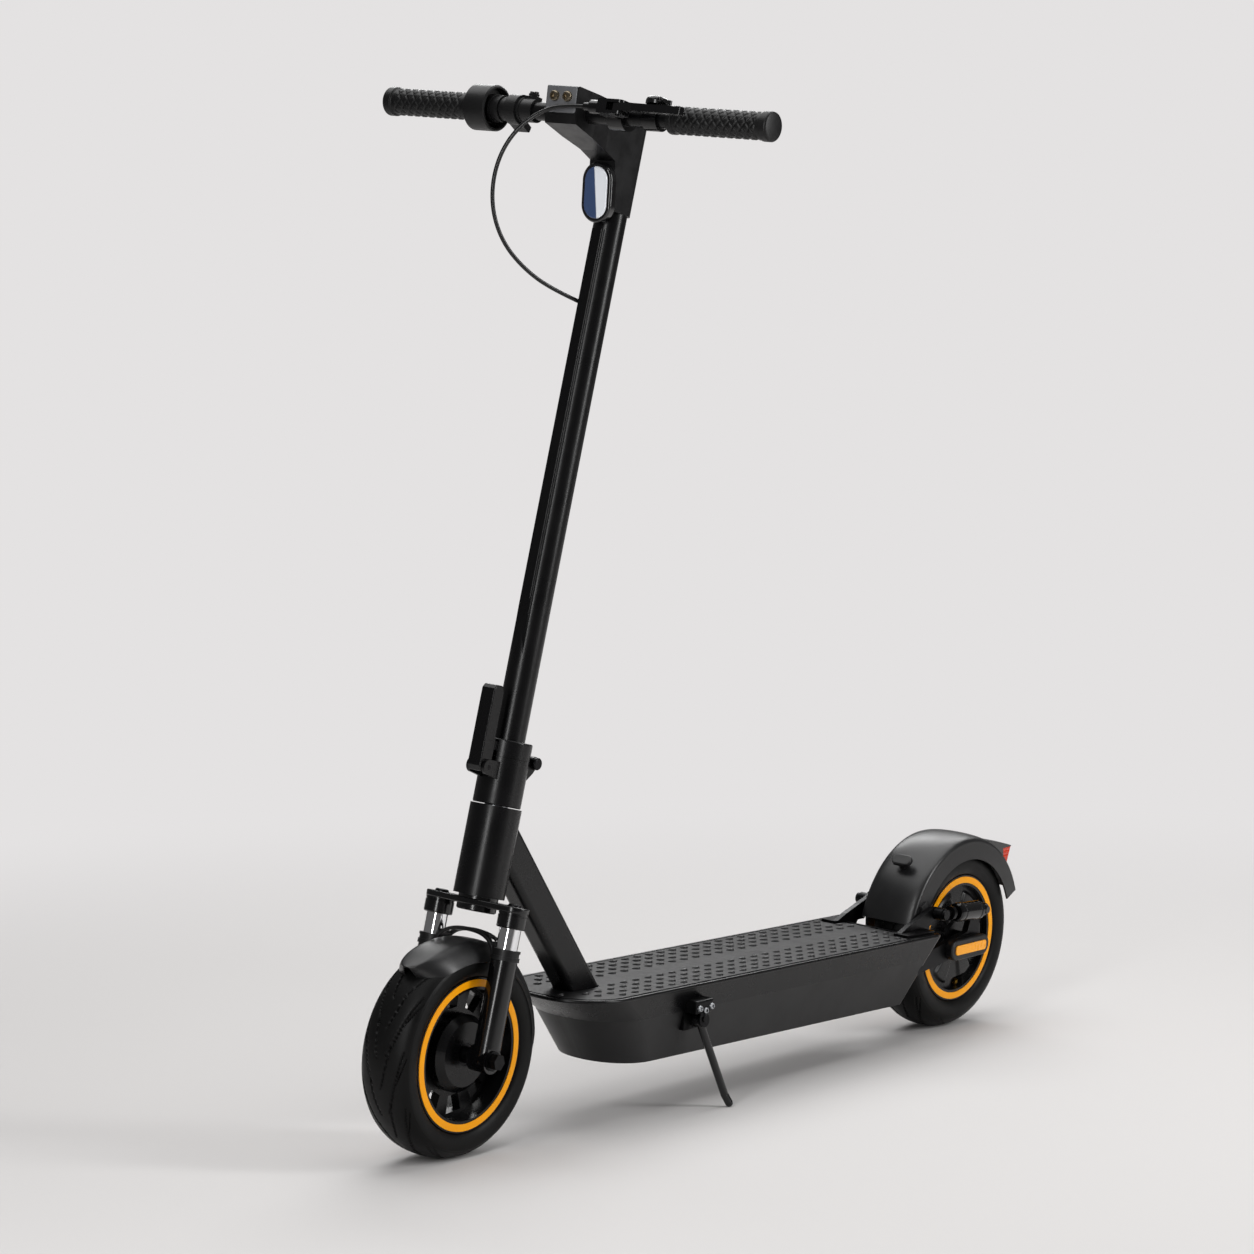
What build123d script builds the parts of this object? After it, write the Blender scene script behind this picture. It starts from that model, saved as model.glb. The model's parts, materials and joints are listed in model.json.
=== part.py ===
"""Electric kick scooter: folding column, sprung fork, sprung swingarm and kickstand.

Two building frames are used, both in millimetres.
bike frame: X forward, Y to the rider's left, Z up, origin on the ground under the rear axle.
column frame: origin at the front axle, Z up along the steering axis, X square to it, forward.
Everything is then leaned over onto the kickstand and its base is centred on the origin.
"""
from build123d import *
import math
import os

# driving dimensions
WHEELBASE = 1050.0
RAKE = 12.85
LEAN = 4.5
TYRE_R = 127.0
TYRE_HALF = 37.0
TYRE_WALL = 5.0
FRONT_RIM_R = 93.0
REAR_RIM_R = 87.0
STRIPE_WIDTH = 8.6
STRIPE_THICK = 0.8
GAP = 0.3
RUN = 0.05

# deck, measured along its own slightly nose-up plane
DECK_PITCH = 1.09
DECK_TOP_Z = 153.4
DECK_REAR_X = 115.0
NOSE_BACK = 162.0
DECK_NOSE_X = WHEELBASE - NOSE_BACK
DECK_HALF = 82.0
DECK_NOSE_R = 75.0
DECK_TAIL_R = 12.0
BAND_DROP = 32.0
BAND_IN = 6.0
BAND_NOSE_BACK = 48.0
TRAY_DROP = 59.0
TRAY_IN = 12.0
TRAY_NOSE_BACK = 44.0
TRAY_REAR_RAKE = 58.0
DECK_WALL = 3.0
WHEEL_BAY_X = 192.0
PLATE_REAR_X = 154.0
PLATE_SLOT_X = 161.0
MAT_REAR_X = 168.0
MAT_TONGUE_X = 190.0
MAT_TONGUE_HALF = 46.0
WHEEL_BAY_HALF = 58.0
MAT_THICK = 2.0
MAT_MARGIN = 7.0

# column heights along the steering axis, from the axle
CROWN_Z = 168.0
CROWN_THICK = 14.0
HEAD_TUBE_Z = 186.0
HEAD_TUBE_TOP = 294.0
HEAD_TUBE_R = 31.0
BASE_TOP = 352.0
BASE_R = 29.0
COLLAR_TOP = 373.0
STEM_R = 19.2
STEM_WALL = 2.4
STEM_TOP = 1012.0
HEAD_TOP = 1135.0
STEERER_R = 14.3
HINGE_X = -33.0
HINGE_R = 8.0
HINGE_PIN_R = 3.5

# fork
LEG_Y = 56.0
STANCHION_R = 13.0
LEG_R = 16.0
LEG_TOP = 118.0
SEAL_TOP = 131.0
COLLAR_DROP = 12.0
AXLE_R = 6.0

# handlebar
BAR_X = 103.0
BAR_Z = 1109.0
BAR_R = 11.1
BAR_SLEEVE = 5.9
PADDLE_WALL = 4.9
BAR_HALF = 283.0
GRIP_R = 16.5
LEFT_GRIP_Y = 143.0
RIGHT_GRIP_Y = 154.0

# rear suspension, bike frame
PIVOT_X = 150.0
PIVOT_Z = 108.0
ARM_IN = 46.0
ARM_OUT = 55.0
SHOCK_Y = 64.0
SHOCK_FRONT = (96.0, 178.0)
SHOCK_REAR = (-8.0, 172.0)
SHOCK_R = 13.0

# kickstand, bike frame
STAND_PIVOT = (672.0, 88.0, 124.0)
STAND_FOOT = (624.0, 107.0)
STAND_R = 5.0



def rod(radius, start, end):
    """Round bar between two points."""
    a = Vector(*start)
    b = Vector(*end)
    plane = Plane(origin=a, z_dir=(b - a))
    bar = Cylinder(radius, (b - a).length, align=(Align.CENTER, Align.CENTER, Align.MIN))
    return plane.location * bar


def upright(radius, low, high, x=0.0, y=0.0):
    """Round bar along Z."""
    return rod(radius, (x, y, low), (x, y, high))


def across(radius, y0, y1, x=0.0, z=0.0):
    """Round bar along Y."""
    return rod(radius, (x, y0, z), (x, y1, z))


def block(x0, x1, y0, y1, z0, z1):
    """Box between two corners."""
    box = Box(x1 - x0, y1 - y0, z1 - z0, align=(Align.MIN, Align.MIN, Align.MIN))
    return Pos(x0, y0, z0) * box


def side_plate(points, y0, y1):
    """Outline in X and Z, given thickness along Y."""
    face = make_face(Polyline(*[(x, 0, z) for x, z in points], close=True))
    solid = extrude(face, amount=y1 - y0, dir=(0, 1, 0))
    return Pos(0, y0, 0) * solid


def turned(points):
    """Outline of radius and Y, turned about the Y axis."""
    return revolve(make_face(Polyline(*points, close=True)), Axis.Y)


def both_sides(solid):
    """The solid and its mirror image across the middle plane."""
    return [solid, mirror(solid, about=Plane.XZ)]


def ease(solid, radius, edges):
    """Fillet of the chosen edges."""
    return fillet(edges(solid), radius)


def sector_cut(solid, start, stop, reach=300.0):
    """Keep what lies between two angles about the Y axis, from +X towards +Z."""
    steps = 12
    angles = [start + (stop - start) * i / steps for i in range(steps + 1)]
    arc = [math.radians(a) for a in angles]
    fan = [(0.0, 0.0)] + [(reach * math.cos(a), reach * math.sin(a)) for a in arc]
    return solid & side_plate(fan, -100, 100)


# wheels ------------------------------------------------------------------------------

def make_tyre(rim_r):
    bead = 27.0
    outer = (
        Line((rim_r + GAP, -bead), (rim_r + GAP, bead)),
        ThreePointArc((rim_r + GAP, bead), (rim_r + 6, TYRE_HALF - 1.6), (rim_r + 17, TYRE_HALF - 1)),
        ThreePointArc((rim_r + 17, TYRE_HALF - 1), (TYRE_R, 0), (rim_r + 17, 1 - TYRE_HALF)),
        ThreePointArc((rim_r + 17, 1 - TYRE_HALF), (rim_r + 6, 1.6 - TYRE_HALF), (rim_r + GAP, -bead)),
    )
    wall = TYRE_WALL
    cavity = (
        Line((rim_r, wall - bead), (rim_r, bead - wall)),
        ThreePointArc((rim_r, bead - wall), (rim_r + 7, TYRE_HALF - wall - 2),
                      (rim_r + 16, TYRE_HALF - wall - 1)),
        ThreePointArc((rim_r + 16, TYRE_HALF - wall - 1), (TYRE_R - wall, 0),
                      (rim_r + 16, 1 + wall - TYRE_HALF)),
        ThreePointArc((rim_r + 16, 1 + wall - TYRE_HALF), (rim_r + 7, 2 + wall - TYRE_HALF),
                      (rim_r, wall - bead)),
    )
    return revolve(make_face(outer), Axis.Y) - revolve(make_face(cavity), Axis.Y)


FLANGE_OUT = 31.5
FLANGE_IN = 27.0
CHANNEL_IN = 14.0
CHANNEL_WALL = 4.0


def rim_ring(rim_r):
    r0 = rim_r - CHANNEL_IN
    r1 = r0 + CHANNEL_WALL
    half = [(r0, -FLANGE_OUT), (r0, FLANGE_OUT), (rim_r, FLANGE_OUT), (rim_r, FLANGE_IN), (r1, FLANGE_IN),
            (r1, -FLANGE_IN), (rim_r, -FLANGE_IN), (rim_r, -FLANGE_OUT)]
    return turned(half)


def make_front_rim():
    hub_r = 47.0
    web = turned([(hub_r - 1, -6), (hub_r - 1, 6), (FRONT_RIM_R - CHANNEL_IN + 1, 6),
                  (FRONT_RIM_R - CHANNEL_IN + 1, -6)])
    window = side_plate([(53, -9), (53, 9), (74, 13), (74, -13)], -20, 20)
    for i in range(10):
        web = web - Rot(0, 36 * i, 0) * window
    hub = turned([(14.05, -27), (14.05, 27), (hub_r - 8, 27), (hub_r, 19), (hub_r, -19), (hub_r - 8, -27)])
    inner = turned([(0, -14), (0, 14), (30, 14), (30, -14)])
    return rim_ring(FRONT_RIM_R) + web + (hub - inner)


def make_rear_motor():
    case_r = 60.0
    web = turned([(case_r - 2, -9), (case_r - 2, 9), (REAR_RIM_R - CHANNEL_IN + 1, 9),
                  (REAR_RIM_R - CHANNEL_IN + 1, -9)])
    case = turned([(AXLE_R + RUN, -30), (AXLE_R + RUN, 30), (24, 30), (28, 26), (case_r - 6, 24), (case_r, 18),
                   (case_r, -18), (case_r - 6, -24), (28, -26), (24, -30)])
    return rim_ring(REAR_RIM_R) + web + case


def make_stripes(rim_r):
    y0 = FLANGE_OUT
    y1 = FLANGE_OUT + STRIPE_THICK
    outer = rim_r - 2.0
    ring = turned([(outer - STRIPE_WIDTH, y0), (outer - STRIPE_WIDTH, y1), (outer, y1), (outer, y0)])
    return both_sides(ring)


def make_front_bearings():
    ring = turned([(AXLE_R + RUN, 17), (AXLE_R + RUN, 26), (14.05, 26), (14.05, 17)])
    return both_sides(ring)


def make_valve():
    """Short stem standing in from the rim channel towards the axle, near the left flange."""
    top = REAR_RIM_R - CHANNEL_IN
    stem = rod(3.0, (0, 19.4, -top + 1.3), (0, 20.5, -top + 4))
    cap = rod(3.9, (0, 20.5, -top + 4), (0, 21.5, -top + 8.5))
    return Rot(0, 14, 0) * (stem + cap)


# fork and column, in the column frame --------------------------------------------------

NUT_SEAT = 11.0
NUT_SEAT_R = 13.0


def make_fork_legs():
    leg = upright(LEG_R, -6, LEG_TOP, 0, LEG_Y)
    leg = leg + across(LEG_R, LEG_Y - LEG_R, LEG_Y + NUT_SEAT)
    leg = leg - upright(STANCHION_R + RUN, 16, LEG_TOP + 1, 0, LEG_Y)
    leg = leg - across(AXLE_R + RUN, LEG_Y - 30, LEG_Y + 30)
    leg = leg - block(-LEG_R - 4, LEG_R + 4, LEG_Y + NUT_SEAT, LEG_Y + 30, -30, NUT_SEAT_R)
    return both_sides(leg)


def make_dust_seals():
    seal = upright(17.5, LEG_TOP, LEG_TOP + 5, 0, LEG_Y) + upright(16.2, LEG_TOP + 5, SEAL_TOP - 3, 0, LEG_Y)
    seal = seal + upright(17.2, SEAL_TOP - 3, SEAL_TOP, 0, LEG_Y)
    return both_sides(seal - upright(STANCHION_R + RUN, 0, 300, 0, LEG_Y))


BRACE_TOP = 149.0
FENDER_R = 133.0
FENDER_THICK = 2.5


def make_fork_brace():
    outer = block(-13, 13, -50, 50, 96, BRACE_TOP)
    outer = ease(outer, 12, lambda s: s.edges().filter_by(Axis.X).group_by(Axis.Z)[-1])
    inner = block(-40, 40, -40.6, 40.6, 0, FENDER_R + FENDER_THICK + GAP)
    arch = outer - inner
    for side in (-1, 1):
        arch = arch - upright(LEG_R, 0, LEG_TOP, 0, side * LEG_Y)
        arch = arch - upright(17.5 + GAP, LEG_TOP - 0.01, 200, 0, side * LEG_Y)
    for y in (-22, 0, 22):
        arch = arch - block(-7, 7, y - 7, y + 7, 0, 300)
    return arch


def make_front_fender():
    r = FENDER_R
    t = FENDER_THICK
    shell = turned([(r, -30), (r, 30), (r - 3, 35), (r - 10, 37), (r - 10, 37 + t), (r - 1.5, 35 + t),
                    (r + t, 31), (r + t, -31), (r - 1.5, -35 - t), (r - 10, -37 - t), (r - 10, -37),
                    (r - 3, -35)])
    return sector_cut(shell, 40, 176)


def make_front_axle():
    bolt = across(AXLE_R, -LEG_Y - 22, LEG_Y + 22)
    washer = across(NUT_SEAT_R - 1, LEG_Y + NUT_SEAT, LEG_Y + NUT_SEAT + 2)
    nut_face = extrude(RegularPolygon(10, 6), 9)
    nut = Pos(0, LEG_Y + NUT_SEAT + 2, 0) * (Rot(-90, 0, 0) * nut_face)
    solid = bolt
    for piece in both_sides(washer) + both_sides(nut):
        solid = solid + piece
    return solid


def make_axle_spacers():
    ring = turned([(AXLE_R + RUN, 26 + GAP), (AXLE_R + RUN, LEG_Y - LEG_R), (10, LEG_Y - LEG_R),
                   (10, 26 + GAP)])
    return both_sides(ring)


CROWN_END_R = 18.0


def make_crown():
    ends = [Pos(0, side * LEG_Y) * Circle(CROWN_END_R) for side in (-1, 1)]
    outline = make_hull([edge for circle in ends + [Circle(27)] for edge in circle.edges()])
    plate = Pos(0, 0, CROWN_Z) * extrude(outline, CROWN_THICK)
    plate = plate + upright(24, CROWN_Z, HEAD_TUBE_Z - GAP)
    for side in (-1, 1):
        plate = plate + upright(CROWN_END_R - 0.5, CROWN_Z - COLLAR_DROP, CROWN_Z, 0, side * LEG_Y)
        plate = plate - upright(STANCHION_R, 0, CROWN_Z + CROWN_THICK - 3, 0, side * LEG_Y)
    plate = plate - upright(STEERER_R, 0, 300)
    return plate - rod(3.2, (34, -9, CROWN_Z - 5), (34, -9, CROWN_Z + 30))


def make_stanchions():
    tube = upright(STANCHION_R, 38, CROWN_Z + CROWN_THICK - 3, 0, LEG_Y)
    return both_sides(tube - upright(STANCHION_R - 2, 0, CROWN_Z + 6, 0, LEG_Y))


def make_steerer():
    tube = upright(STEERER_R, CROWN_Z, HEAD_TUBE_TOP + 26)
    return tube - upright(STEERER_R - 2.5, 0, 400)


def make_headset():
    low = upright(26, HEAD_TUBE_Z, HEAD_TUBE_Z + 9) - upright(STEERER_R + RUN, 0, 400)
    high = upright(26, HEAD_TUBE_TOP - 9, HEAD_TUBE_TOP) - upright(STEERER_R + RUN, 0, 400)
    return [low, high]


def make_head_tube():
    tube = upright(HEAD_TUBE_R, HEAD_TUBE_Z, HEAD_TUBE_TOP)
    return tube - upright(26, 0, 400)


EAR_IN = 12.0
EAR_OUT = 19.0
LATCH_PIN = (45.0, 337.0)
LATCH_HALF = 9.5


def make_folding_base():
    base = upright(BASE_R, HEAD_TUBE_TOP + 1, BASE_TOP)
    base = ease(base, 1.5, lambda s: s.edges().group_by(Axis.Z)[0])
    for side in (-1, 1):
        y0 = EAR_IN if side > 0 else -EAR_OUT
        ear = across(HINGE_R, y0, y0 + EAR_OUT - EAR_IN, HINGE_X, BASE_TOP)
        web = side_plate([(HINGE_X - HINGE_R, BASE_TOP), (-15, BASE_TOP), (-15, BASE_TOP - 30),
                          (HINGE_X - HINGE_R + 8, BASE_TOP - 12)], y0, y0 + EAR_OUT - EAR_IN)
        base = base + ear + web
        z0 = LATCH_HALF + GAP if side > 0 else -LATCH_HALF - GAP - 4
        lug = across(9, z0, z0 + 4, *LATCH_PIN)
        root = side_plate([(20, LATCH_PIN[1] - 13), (LATCH_PIN[0], LATCH_PIN[1] - 9),
                           (LATCH_PIN[0], LATCH_PIN[1] + 9), (20, LATCH_PIN[1] + 9)], z0, z0 + 4)
        base = base + lug + root
    base = base - across(HINGE_R + GAP, -EAR_IN, EAR_IN, HINGE_X, BASE_TOP)
    base = base - across(HINGE_PIN_R, -40, 40, HINGE_X, BASE_TOP)
    base = base - across(3.0, -40, 40, *LATCH_PIN)
    return base - upright(STEERER_R, 0, HEAD_TUBE_TOP + 26)


def make_hinge_pins():
    fold = across(HINGE_PIN_R, -EAR_OUT, EAR_OUT, HINGE_X, BASE_TOP)
    cap = across(7.5, EAR_OUT, EAR_OUT + 6, HINGE_X, BASE_TOP)
    cap = ease(cap, 2, lambda s: s.edges().group_by(Axis.Y)[-1])
    for piece in both_sides(cap):
        fold = fold + piece
    wide = LATCH_HALF + GAP + 4
    latch = across(3.0, -wide, wide, *LATCH_PIN)
    return [fold, latch]


def make_stem_collar():
    z0 = BASE_TOP + GAP
    ring = upright(BASE_R, z0, COLLAR_TOP)
    ring = ease(ring, 2.0, lambda s: s.edges().group_by(Axis.Z)[-1])
    hook = block(20, 35, -8, 8, z0 + 6, z0 + 17)
    knuckle = across(HINGE_R, -EAR_IN + GAP, EAR_IN - GAP, HINGE_X, BASE_TOP)
    knuckle = knuckle + side_plate([(HINGE_X, BASE_TOP + HINGE_R), (-15, COLLAR_TOP - 4), (-15, z0),
                                    (HINGE_X + 4, z0)], -EAR_IN + GAP, EAR_IN - GAP)
    ring = ring + hook + knuckle
    for side in (-1, 1):
        y0 = EAR_IN - GAP if side > 0 else -EAR_OUT - GAP
        ring = ring - across(HINGE_R + GAP, y0, y0 + EAR_OUT - EAR_IN + 2 * GAP, HINGE_X, BASE_TOP)
    ring = ring - across(HINGE_PIN_R + RUN, -40, 40, HINGE_X, BASE_TOP)
    return ring - upright(STEM_R, z0 + 4, 500)


def make_stem_tube():
    tube = upright(STEM_R, BASE_TOP + GAP + 4, STEM_TOP)
    bore = upright(STEM_R - STEM_WALL, 0, 2000)
    last = Vector(*CABLE_ROUTE[-1])
    way = (last - Vector(*CABLE_ROUTE[-2])).normalized()
    return tube - bore - rod(CABLE_R + GAP, last - way * 9, last + way * 5)


def make_spine():
    strip = block(8, STEM_R + 3, -8.5, 8.5, 470, STEM_TOP - 22)
    strip = ease(strip, 2.5, lambda s: s.edges().filter_by(Axis.Z).group_by(Axis.X)[-1])
    strip = strip - upright(STEM_R, 0, 2000)
    wedge = side_plate([(STEM_R - 3, 460), (STEM_R + 4, 460), (STEM_R + 4, 560)], -20, 20)
    return strip - wedge


HEAD_HALF = 23.0

NECK_HALF = 19.2


def light_seat_x(z):
    """Column-frame X of the upright face that the headlight sits on."""
    return LIGHT_AT[0] + (z - LIGHT_AT[2]) * math.tan(math.radians(RAKE))


def make_head():
    side = side_plate([(-STEM_R, STEM_TOP), (-STEM_R, HEAD_TOP), (136, HEAD_TOP), (131, 1100), (128, 1091),
                       (58, 1076), (light_seat_x(1069), 1069), (light_seat_x(STEM_TOP), STEM_TOP)],
                      -HEAD_HALF, HEAD_HALF)
    side = ease(side, 3, lambda s: s.edges().filter_by(Axis.Y).group_by(Axis.Z)[-1])
    outline = make_face(Polyline((-STEM_R, -NECK_HALF), (-STEM_R, NECK_HALF), (60, NECK_HALF), (92, HEAD_HALF),
                                 (140, HEAD_HALF), (140, -HEAD_HALF), (92, -HEAD_HALF), (60, -NECK_HALF),
                                 close=True))
    plan = Pos(0, 0, STEM_TOP) * extrude(outline, 200)
    plan = ease(plan, 12, lambda s: s.edges().filter_by(Axis.Z).group_by(Axis.X)[0])
    head = side & plan
    head = head - upright(STEM_R - STEM_WALL, STEM_TOP - 1, HEAD_TOP - 12)
    for y in (-9, 9):
        head = head - rod(HEAD_BOLT_R, (128, y, HEAD_TOP - 13), (200, y, HEAD_TOP - 13))
    return head - across(BAR_R, -60, 60, BAR_X, BAR_Z)


LIGHT_AT = (28.0, 0.0, 1032.0)
LIGHT_TALL = 72.0
LIGHT_WIDE = 44.0
LIGHT_DEEP = 10.0
LENS_RIM = 5.0


def light_plane():
    t = math.radians(RAKE)
    return Plane(origin=LIGHT_AT, x_dir=(math.sin(t), 0, math.cos(t)), z_dir=(math.cos(t), 0, -math.sin(t)))


def make_headlight_bezel():
    slot = extrude(SlotOverall(LIGHT_TALL, LIGHT_WIDE), LIGHT_DEEP)
    slot = ease(slot, 3, lambda s: s.edges().group_by(Axis.Z)[-1])
    pocket = extrude(SlotOverall(LIGHT_TALL - 2 * LENS_RIM, LIGHT_WIDE - 2 * LENS_RIM), 6)
    return light_plane().location * (slot - Pos(0, 0, LIGHT_DEEP - 4) * pocket)


def make_headlight_lens():
    slot = extrude(SlotOverall(LIGHT_TALL - 2 * LENS_RIM, LIGHT_WIDE - 2 * LENS_RIM), 5)
    slot = ease(slot, 1.5, lambda s: s.edges().group_by(Axis.Z)[-1])
    return light_plane().location * (Pos(0, 0, LIGHT_DEEP - 4) * slot)


HEAD_BOLT_R = 6.6


def make_head_bolts():
    bolts = []
    for y in (-9, 9):
        head = rod(HEAD_BOLT_R, (128, y, HEAD_TOP - 13), (138, y, HEAD_TOP - 13))
        head = ease(head, 1.5, lambda s: s.edges().group_by(Axis.X)[-1])
        socket = rod(2.4, (135, y, HEAD_TOP - 13), (150, y, HEAD_TOP - 13))
        bolts.append(head - socket)
    return bolts


def on_bar(points):
    """Outline of radius and Y, turned about the handlebar."""
    return Pos(BAR_X, 0, BAR_Z) * turned(points)


def make_handlebar():
    tube = across(BAR_R, -BAR_HALF, BAR_HALF, BAR_X, BAR_Z)
    return tube - across(BAR_R - 2, -BAR_HALF - 1, BAR_HALF + 1, BAR_X, BAR_Z)


def make_grip(start):
    end = BAR_HALF
    outline = [(BAR_R, start), (BAR_R, end), (0, end), (0, end + 4), (GRIP_R - 2, end + 4),
               (GRIP_R + 1.2, end + 1), (GRIP_R + 1.2, end - 9), (GRIP_R, end - 11), (GRIP_R, start + 9),
               (GRIP_R + 1.5, start + 7), (GRIP_R + 1.5, start)]
    return on_bar(outline)


DRUM_IN = 119.0
DRUM_OUT = 153.0
DRUM_R = 27.5
PADDLE_IN = 107.0


def make_throttle_drum():
    body = on_bar([(BAR_R, -DRUM_OUT), (DRUM_R - 3, -DRUM_OUT), (DRUM_R, -DRUM_OUT + 3),
                   (DRUM_R, -DRUM_IN - 1.5), (DRUM_R - 1.5, -DRUM_IN), (DRUM_R - 3.5, -DRUM_IN),
                   (DRUM_R - 3.5, -DRUM_IN - 9), (BAR_R + BAR_SLEEVE, -DRUM_IN - 9),
                   (BAR_R + BAR_SLEEVE, -DRUM_IN), (BAR_R, -DRUM_IN)])
    return body


def make_throttle_paddle():
    hub_r = BAR_R + PADDLE_WALL
    hub = on_bar([(BAR_R + RUN, -DRUM_IN + GAP), (hub_r, -DRUM_IN + GAP), (hub_r, -PADDLE_IN - GAP),
                  (BAR_R + RUN, -PADDLE_IN - GAP)])
    root = BAR_X - BAR_R
    blade = side_plate([(root - 0.9, BAR_Z + 5), (root - 2.9, BAR_Z - 7), (root - 31.9, BAR_Z - 19),
                        (root - 33.9, BAR_Z - 11)], -DRUM_IN + GAP, -PADDLE_IN - GAP + 8)
    blade = ease(blade, 2.5, lambda s: s.edges().filter_by(Axis.Y).group_by(Axis.Z)[0])
    trim = across(BAR_R + 5, -PADDLE_IN - GAP, -60, BAR_X, BAR_Z)
    return hub + (blade - across(BAR_R + 3, -200, 0, BAR_X, BAR_Z) - trim)


def make_switch_collar():
    neck = on_bar([(BAR_R, -PADDLE_IN), (BAR_R + 2.9, -PADDLE_IN), (BAR_R + 3.5, -96), (BAR_R + 6.9, -96),
                   (BAR_R + 6.9, -80), (BAR_R + 3.9, -80), (BAR_R + 3.9, -76), (BAR_R + 3.1, -76),
                   (BAR_R + 3.1, -58), (BAR_R, -58)])
    seat = block(BAR_X - 6, BAR_X + 6, -76, -59, BAR_Z + 8, BAR_Z + 16.5)
    seat = seat - across(BAR_R, -90, 0, BAR_X, BAR_Z)
    y, z = ROCKER_PIN
    slot = block(BAR_X - 8, BAR_X + 8, y - 1.7, y + 1.7, z - 3.7 - GAP, z + 30)
    return (neck + seat) - slot


ROCKER_PIN = (-67.5, BAR_Z + 18.6)


def make_mode_rocker():
    y, z = ROCKER_PIN
    bar = block(BAR_X - 2.7, BAR_X + 2.7, y - 6.0, y + 6.0, z - 1.0, z + 1.6)
    foot = block(BAR_X - 2.7, BAR_X + 2.7, y - 1.2, y + 1.2, z - 3.7, z)
    knobs = upright(2.6, z, z + 4, BAR_X, y - 3.4) + upright(2.6, z, z + 4, BAR_X, y + 3.4)
    return bar + foot + knobs


LEVER_PIVOT = (142.0, 92.0)
LEVER_Z = BAR_Z + 2.0
LEVER_HALF = 4.5


def make_brake_perch():
    sleeve_r = BAR_R + BAR_SLEEVE
    ring = on_bar([(BAR_R, 58), (sleeve_r, 58), (sleeve_r, 80), (BAR_R, 80)])
    arm = block(BAR_X + 9, 137, 62, 78, LEVER_Z - 8.5, LEVER_Z + 8.5) - across(BAR_R, 0, 100, BAR_X, BAR_Z)
    yoke = block(128, 150, 66, 101, LEVER_Z - 8.5, LEVER_Z + 8.5)
    yoke = ease(yoke, 6, lambda s: s.edges().filter_by(Axis.Z).group_by(Axis.Y)[-1])
    slot = block(125, 160, 80, 120, LEVER_Z - LEVER_HALF - GAP, LEVER_Z + LEVER_HALF + GAP)
    barrel = rod(8.0, (138, 50, LEVER_Z), (138, 66, LEVER_Z))
    nose = rod(5.0, (138, 40, LEVER_Z), (138, 50, LEVER_Z))
    body = ring + arm + (yoke - slot) + barrel + nose
    body = body - rod(2.6, (138, 30, LEVER_Z), (138, 48, LEVER_Z))
    return body - upright(3.0, LEVER_Z - 20, LEVER_Z + 20, *LEVER_PIVOT)


def make_lever_pin():
    return upright(3.0, LEVER_Z - 9.5, LEVER_Z + 9.5, *LEVER_PIVOT)


def make_brake_lever():
    x, y = LEVER_PIVOT
    path = [(x - 5.5, y - 5), (x + 5.5, y - 6), (x + 11, y + 26), (x + 9, y + 60), (x + 6, y + 92),
            (x + 1, y + 98), (x - 3, y + 92), (x + 0.5, y + 60), (x + 1.5, y + 28), (x - 5, y + 10)]
    face = make_face(Polyline(*path, close=True))
    blade = Pos(0, 0, LEVER_Z - LEVER_HALF) * extrude(face, 2 * LEVER_HALF)
    blade = ease(blade, 2.5, lambda s: s.edges().filter_by(Axis.Z))
    return blade - upright(3.0 + RUN, 0, 2000, x, y)


BELL_Y = 118.0
BELL_X = BAR_X + 2.0
BELL_Z = BAR_Z + 16.0


def make_bell():
    ring = on_bar([(BAR_R, 108), (14.5, 108), (14.5, 128), (BAR_R, 128)])
    post = upright(3.0, BAR_Z + 12, BELL_Z + 5, BELL_X, BELL_Y) - across(BAR_R, 0, 200, BAR_X, BAR_Z)
    dome = upright(14, BELL_Z, BELL_Z + 9, BELL_X, BELL_Y)
    dome = ease(dome, 6, lambda s: s.edges().group_by(Axis.Z)[-1])
    dome = dome - upright(12.4, BELL_Z - 1, BELL_Z + 5, BELL_X, BELL_Y)
    pad = block(BAR_X - 3, BAR_X + 10, 128, 141, BAR_Z + 9, BAR_Z + 15)
    pad = pad - across(BAR_R, 0, 200, BAR_X, BAR_Z)
    return ring + post + dome + pad


HAMMER_AT = (BAR_X + 5.0, 137.0)


def make_bell_hammer():
    x, y = HAMMER_AT
    z = BAR_Z + 15 + GAP
    arm = upright(3.2, z, z + 6, x, y) + block(x, x + 18, y - 2, y + 2, z + 1.5, z + 5)
    ball = Pos(x + 18, y, z + 3.4) * Sphere(3.2)
    return arm + ball


# brake cable housing from the lever's barrel, in one forward bow, into the column
CABLE_R = 2.5
CABLE_ROUTE = [(138, 47, LEVER_Z), (138, 20, LEVER_Z), (142, -9, 1106), (149, -37, 1086), (152, -58, 1054),
               (147, -69, 1016), (134, -70, 978), (113, -61, 945), (84, -45, 922), (51, -28, 908),
               (14, -10, 901)]


def cord(points, radius):
    """Round cord along straight runs joined by arcs as large as the runs allow."""
    pts = [Vector(*p) for p in points]
    radii = []
    for a, b, c in zip(pts, pts[1:], pts[2:]):
        turn = (b - a).get_angle(c - b)
        run = min((b - a).length, (c - b).length)
        radii.append(0.45 * run / math.tan(math.radians(turn / 2)))
    path = FilletPolyline(*pts, radius=radii)
    section = Plane(origin=path @ 0, z_dir=path % 0) * Circle(radius)
    solid = sweep(section, path)
    expect = math.pi * radius ** 2 * path.length
    print("cord arcs", [round(r, 1) for r in radii], "length", round(path.length, 1),
          "volume ratio", round(solid.volume / expect, 4))
    return solid


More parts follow.
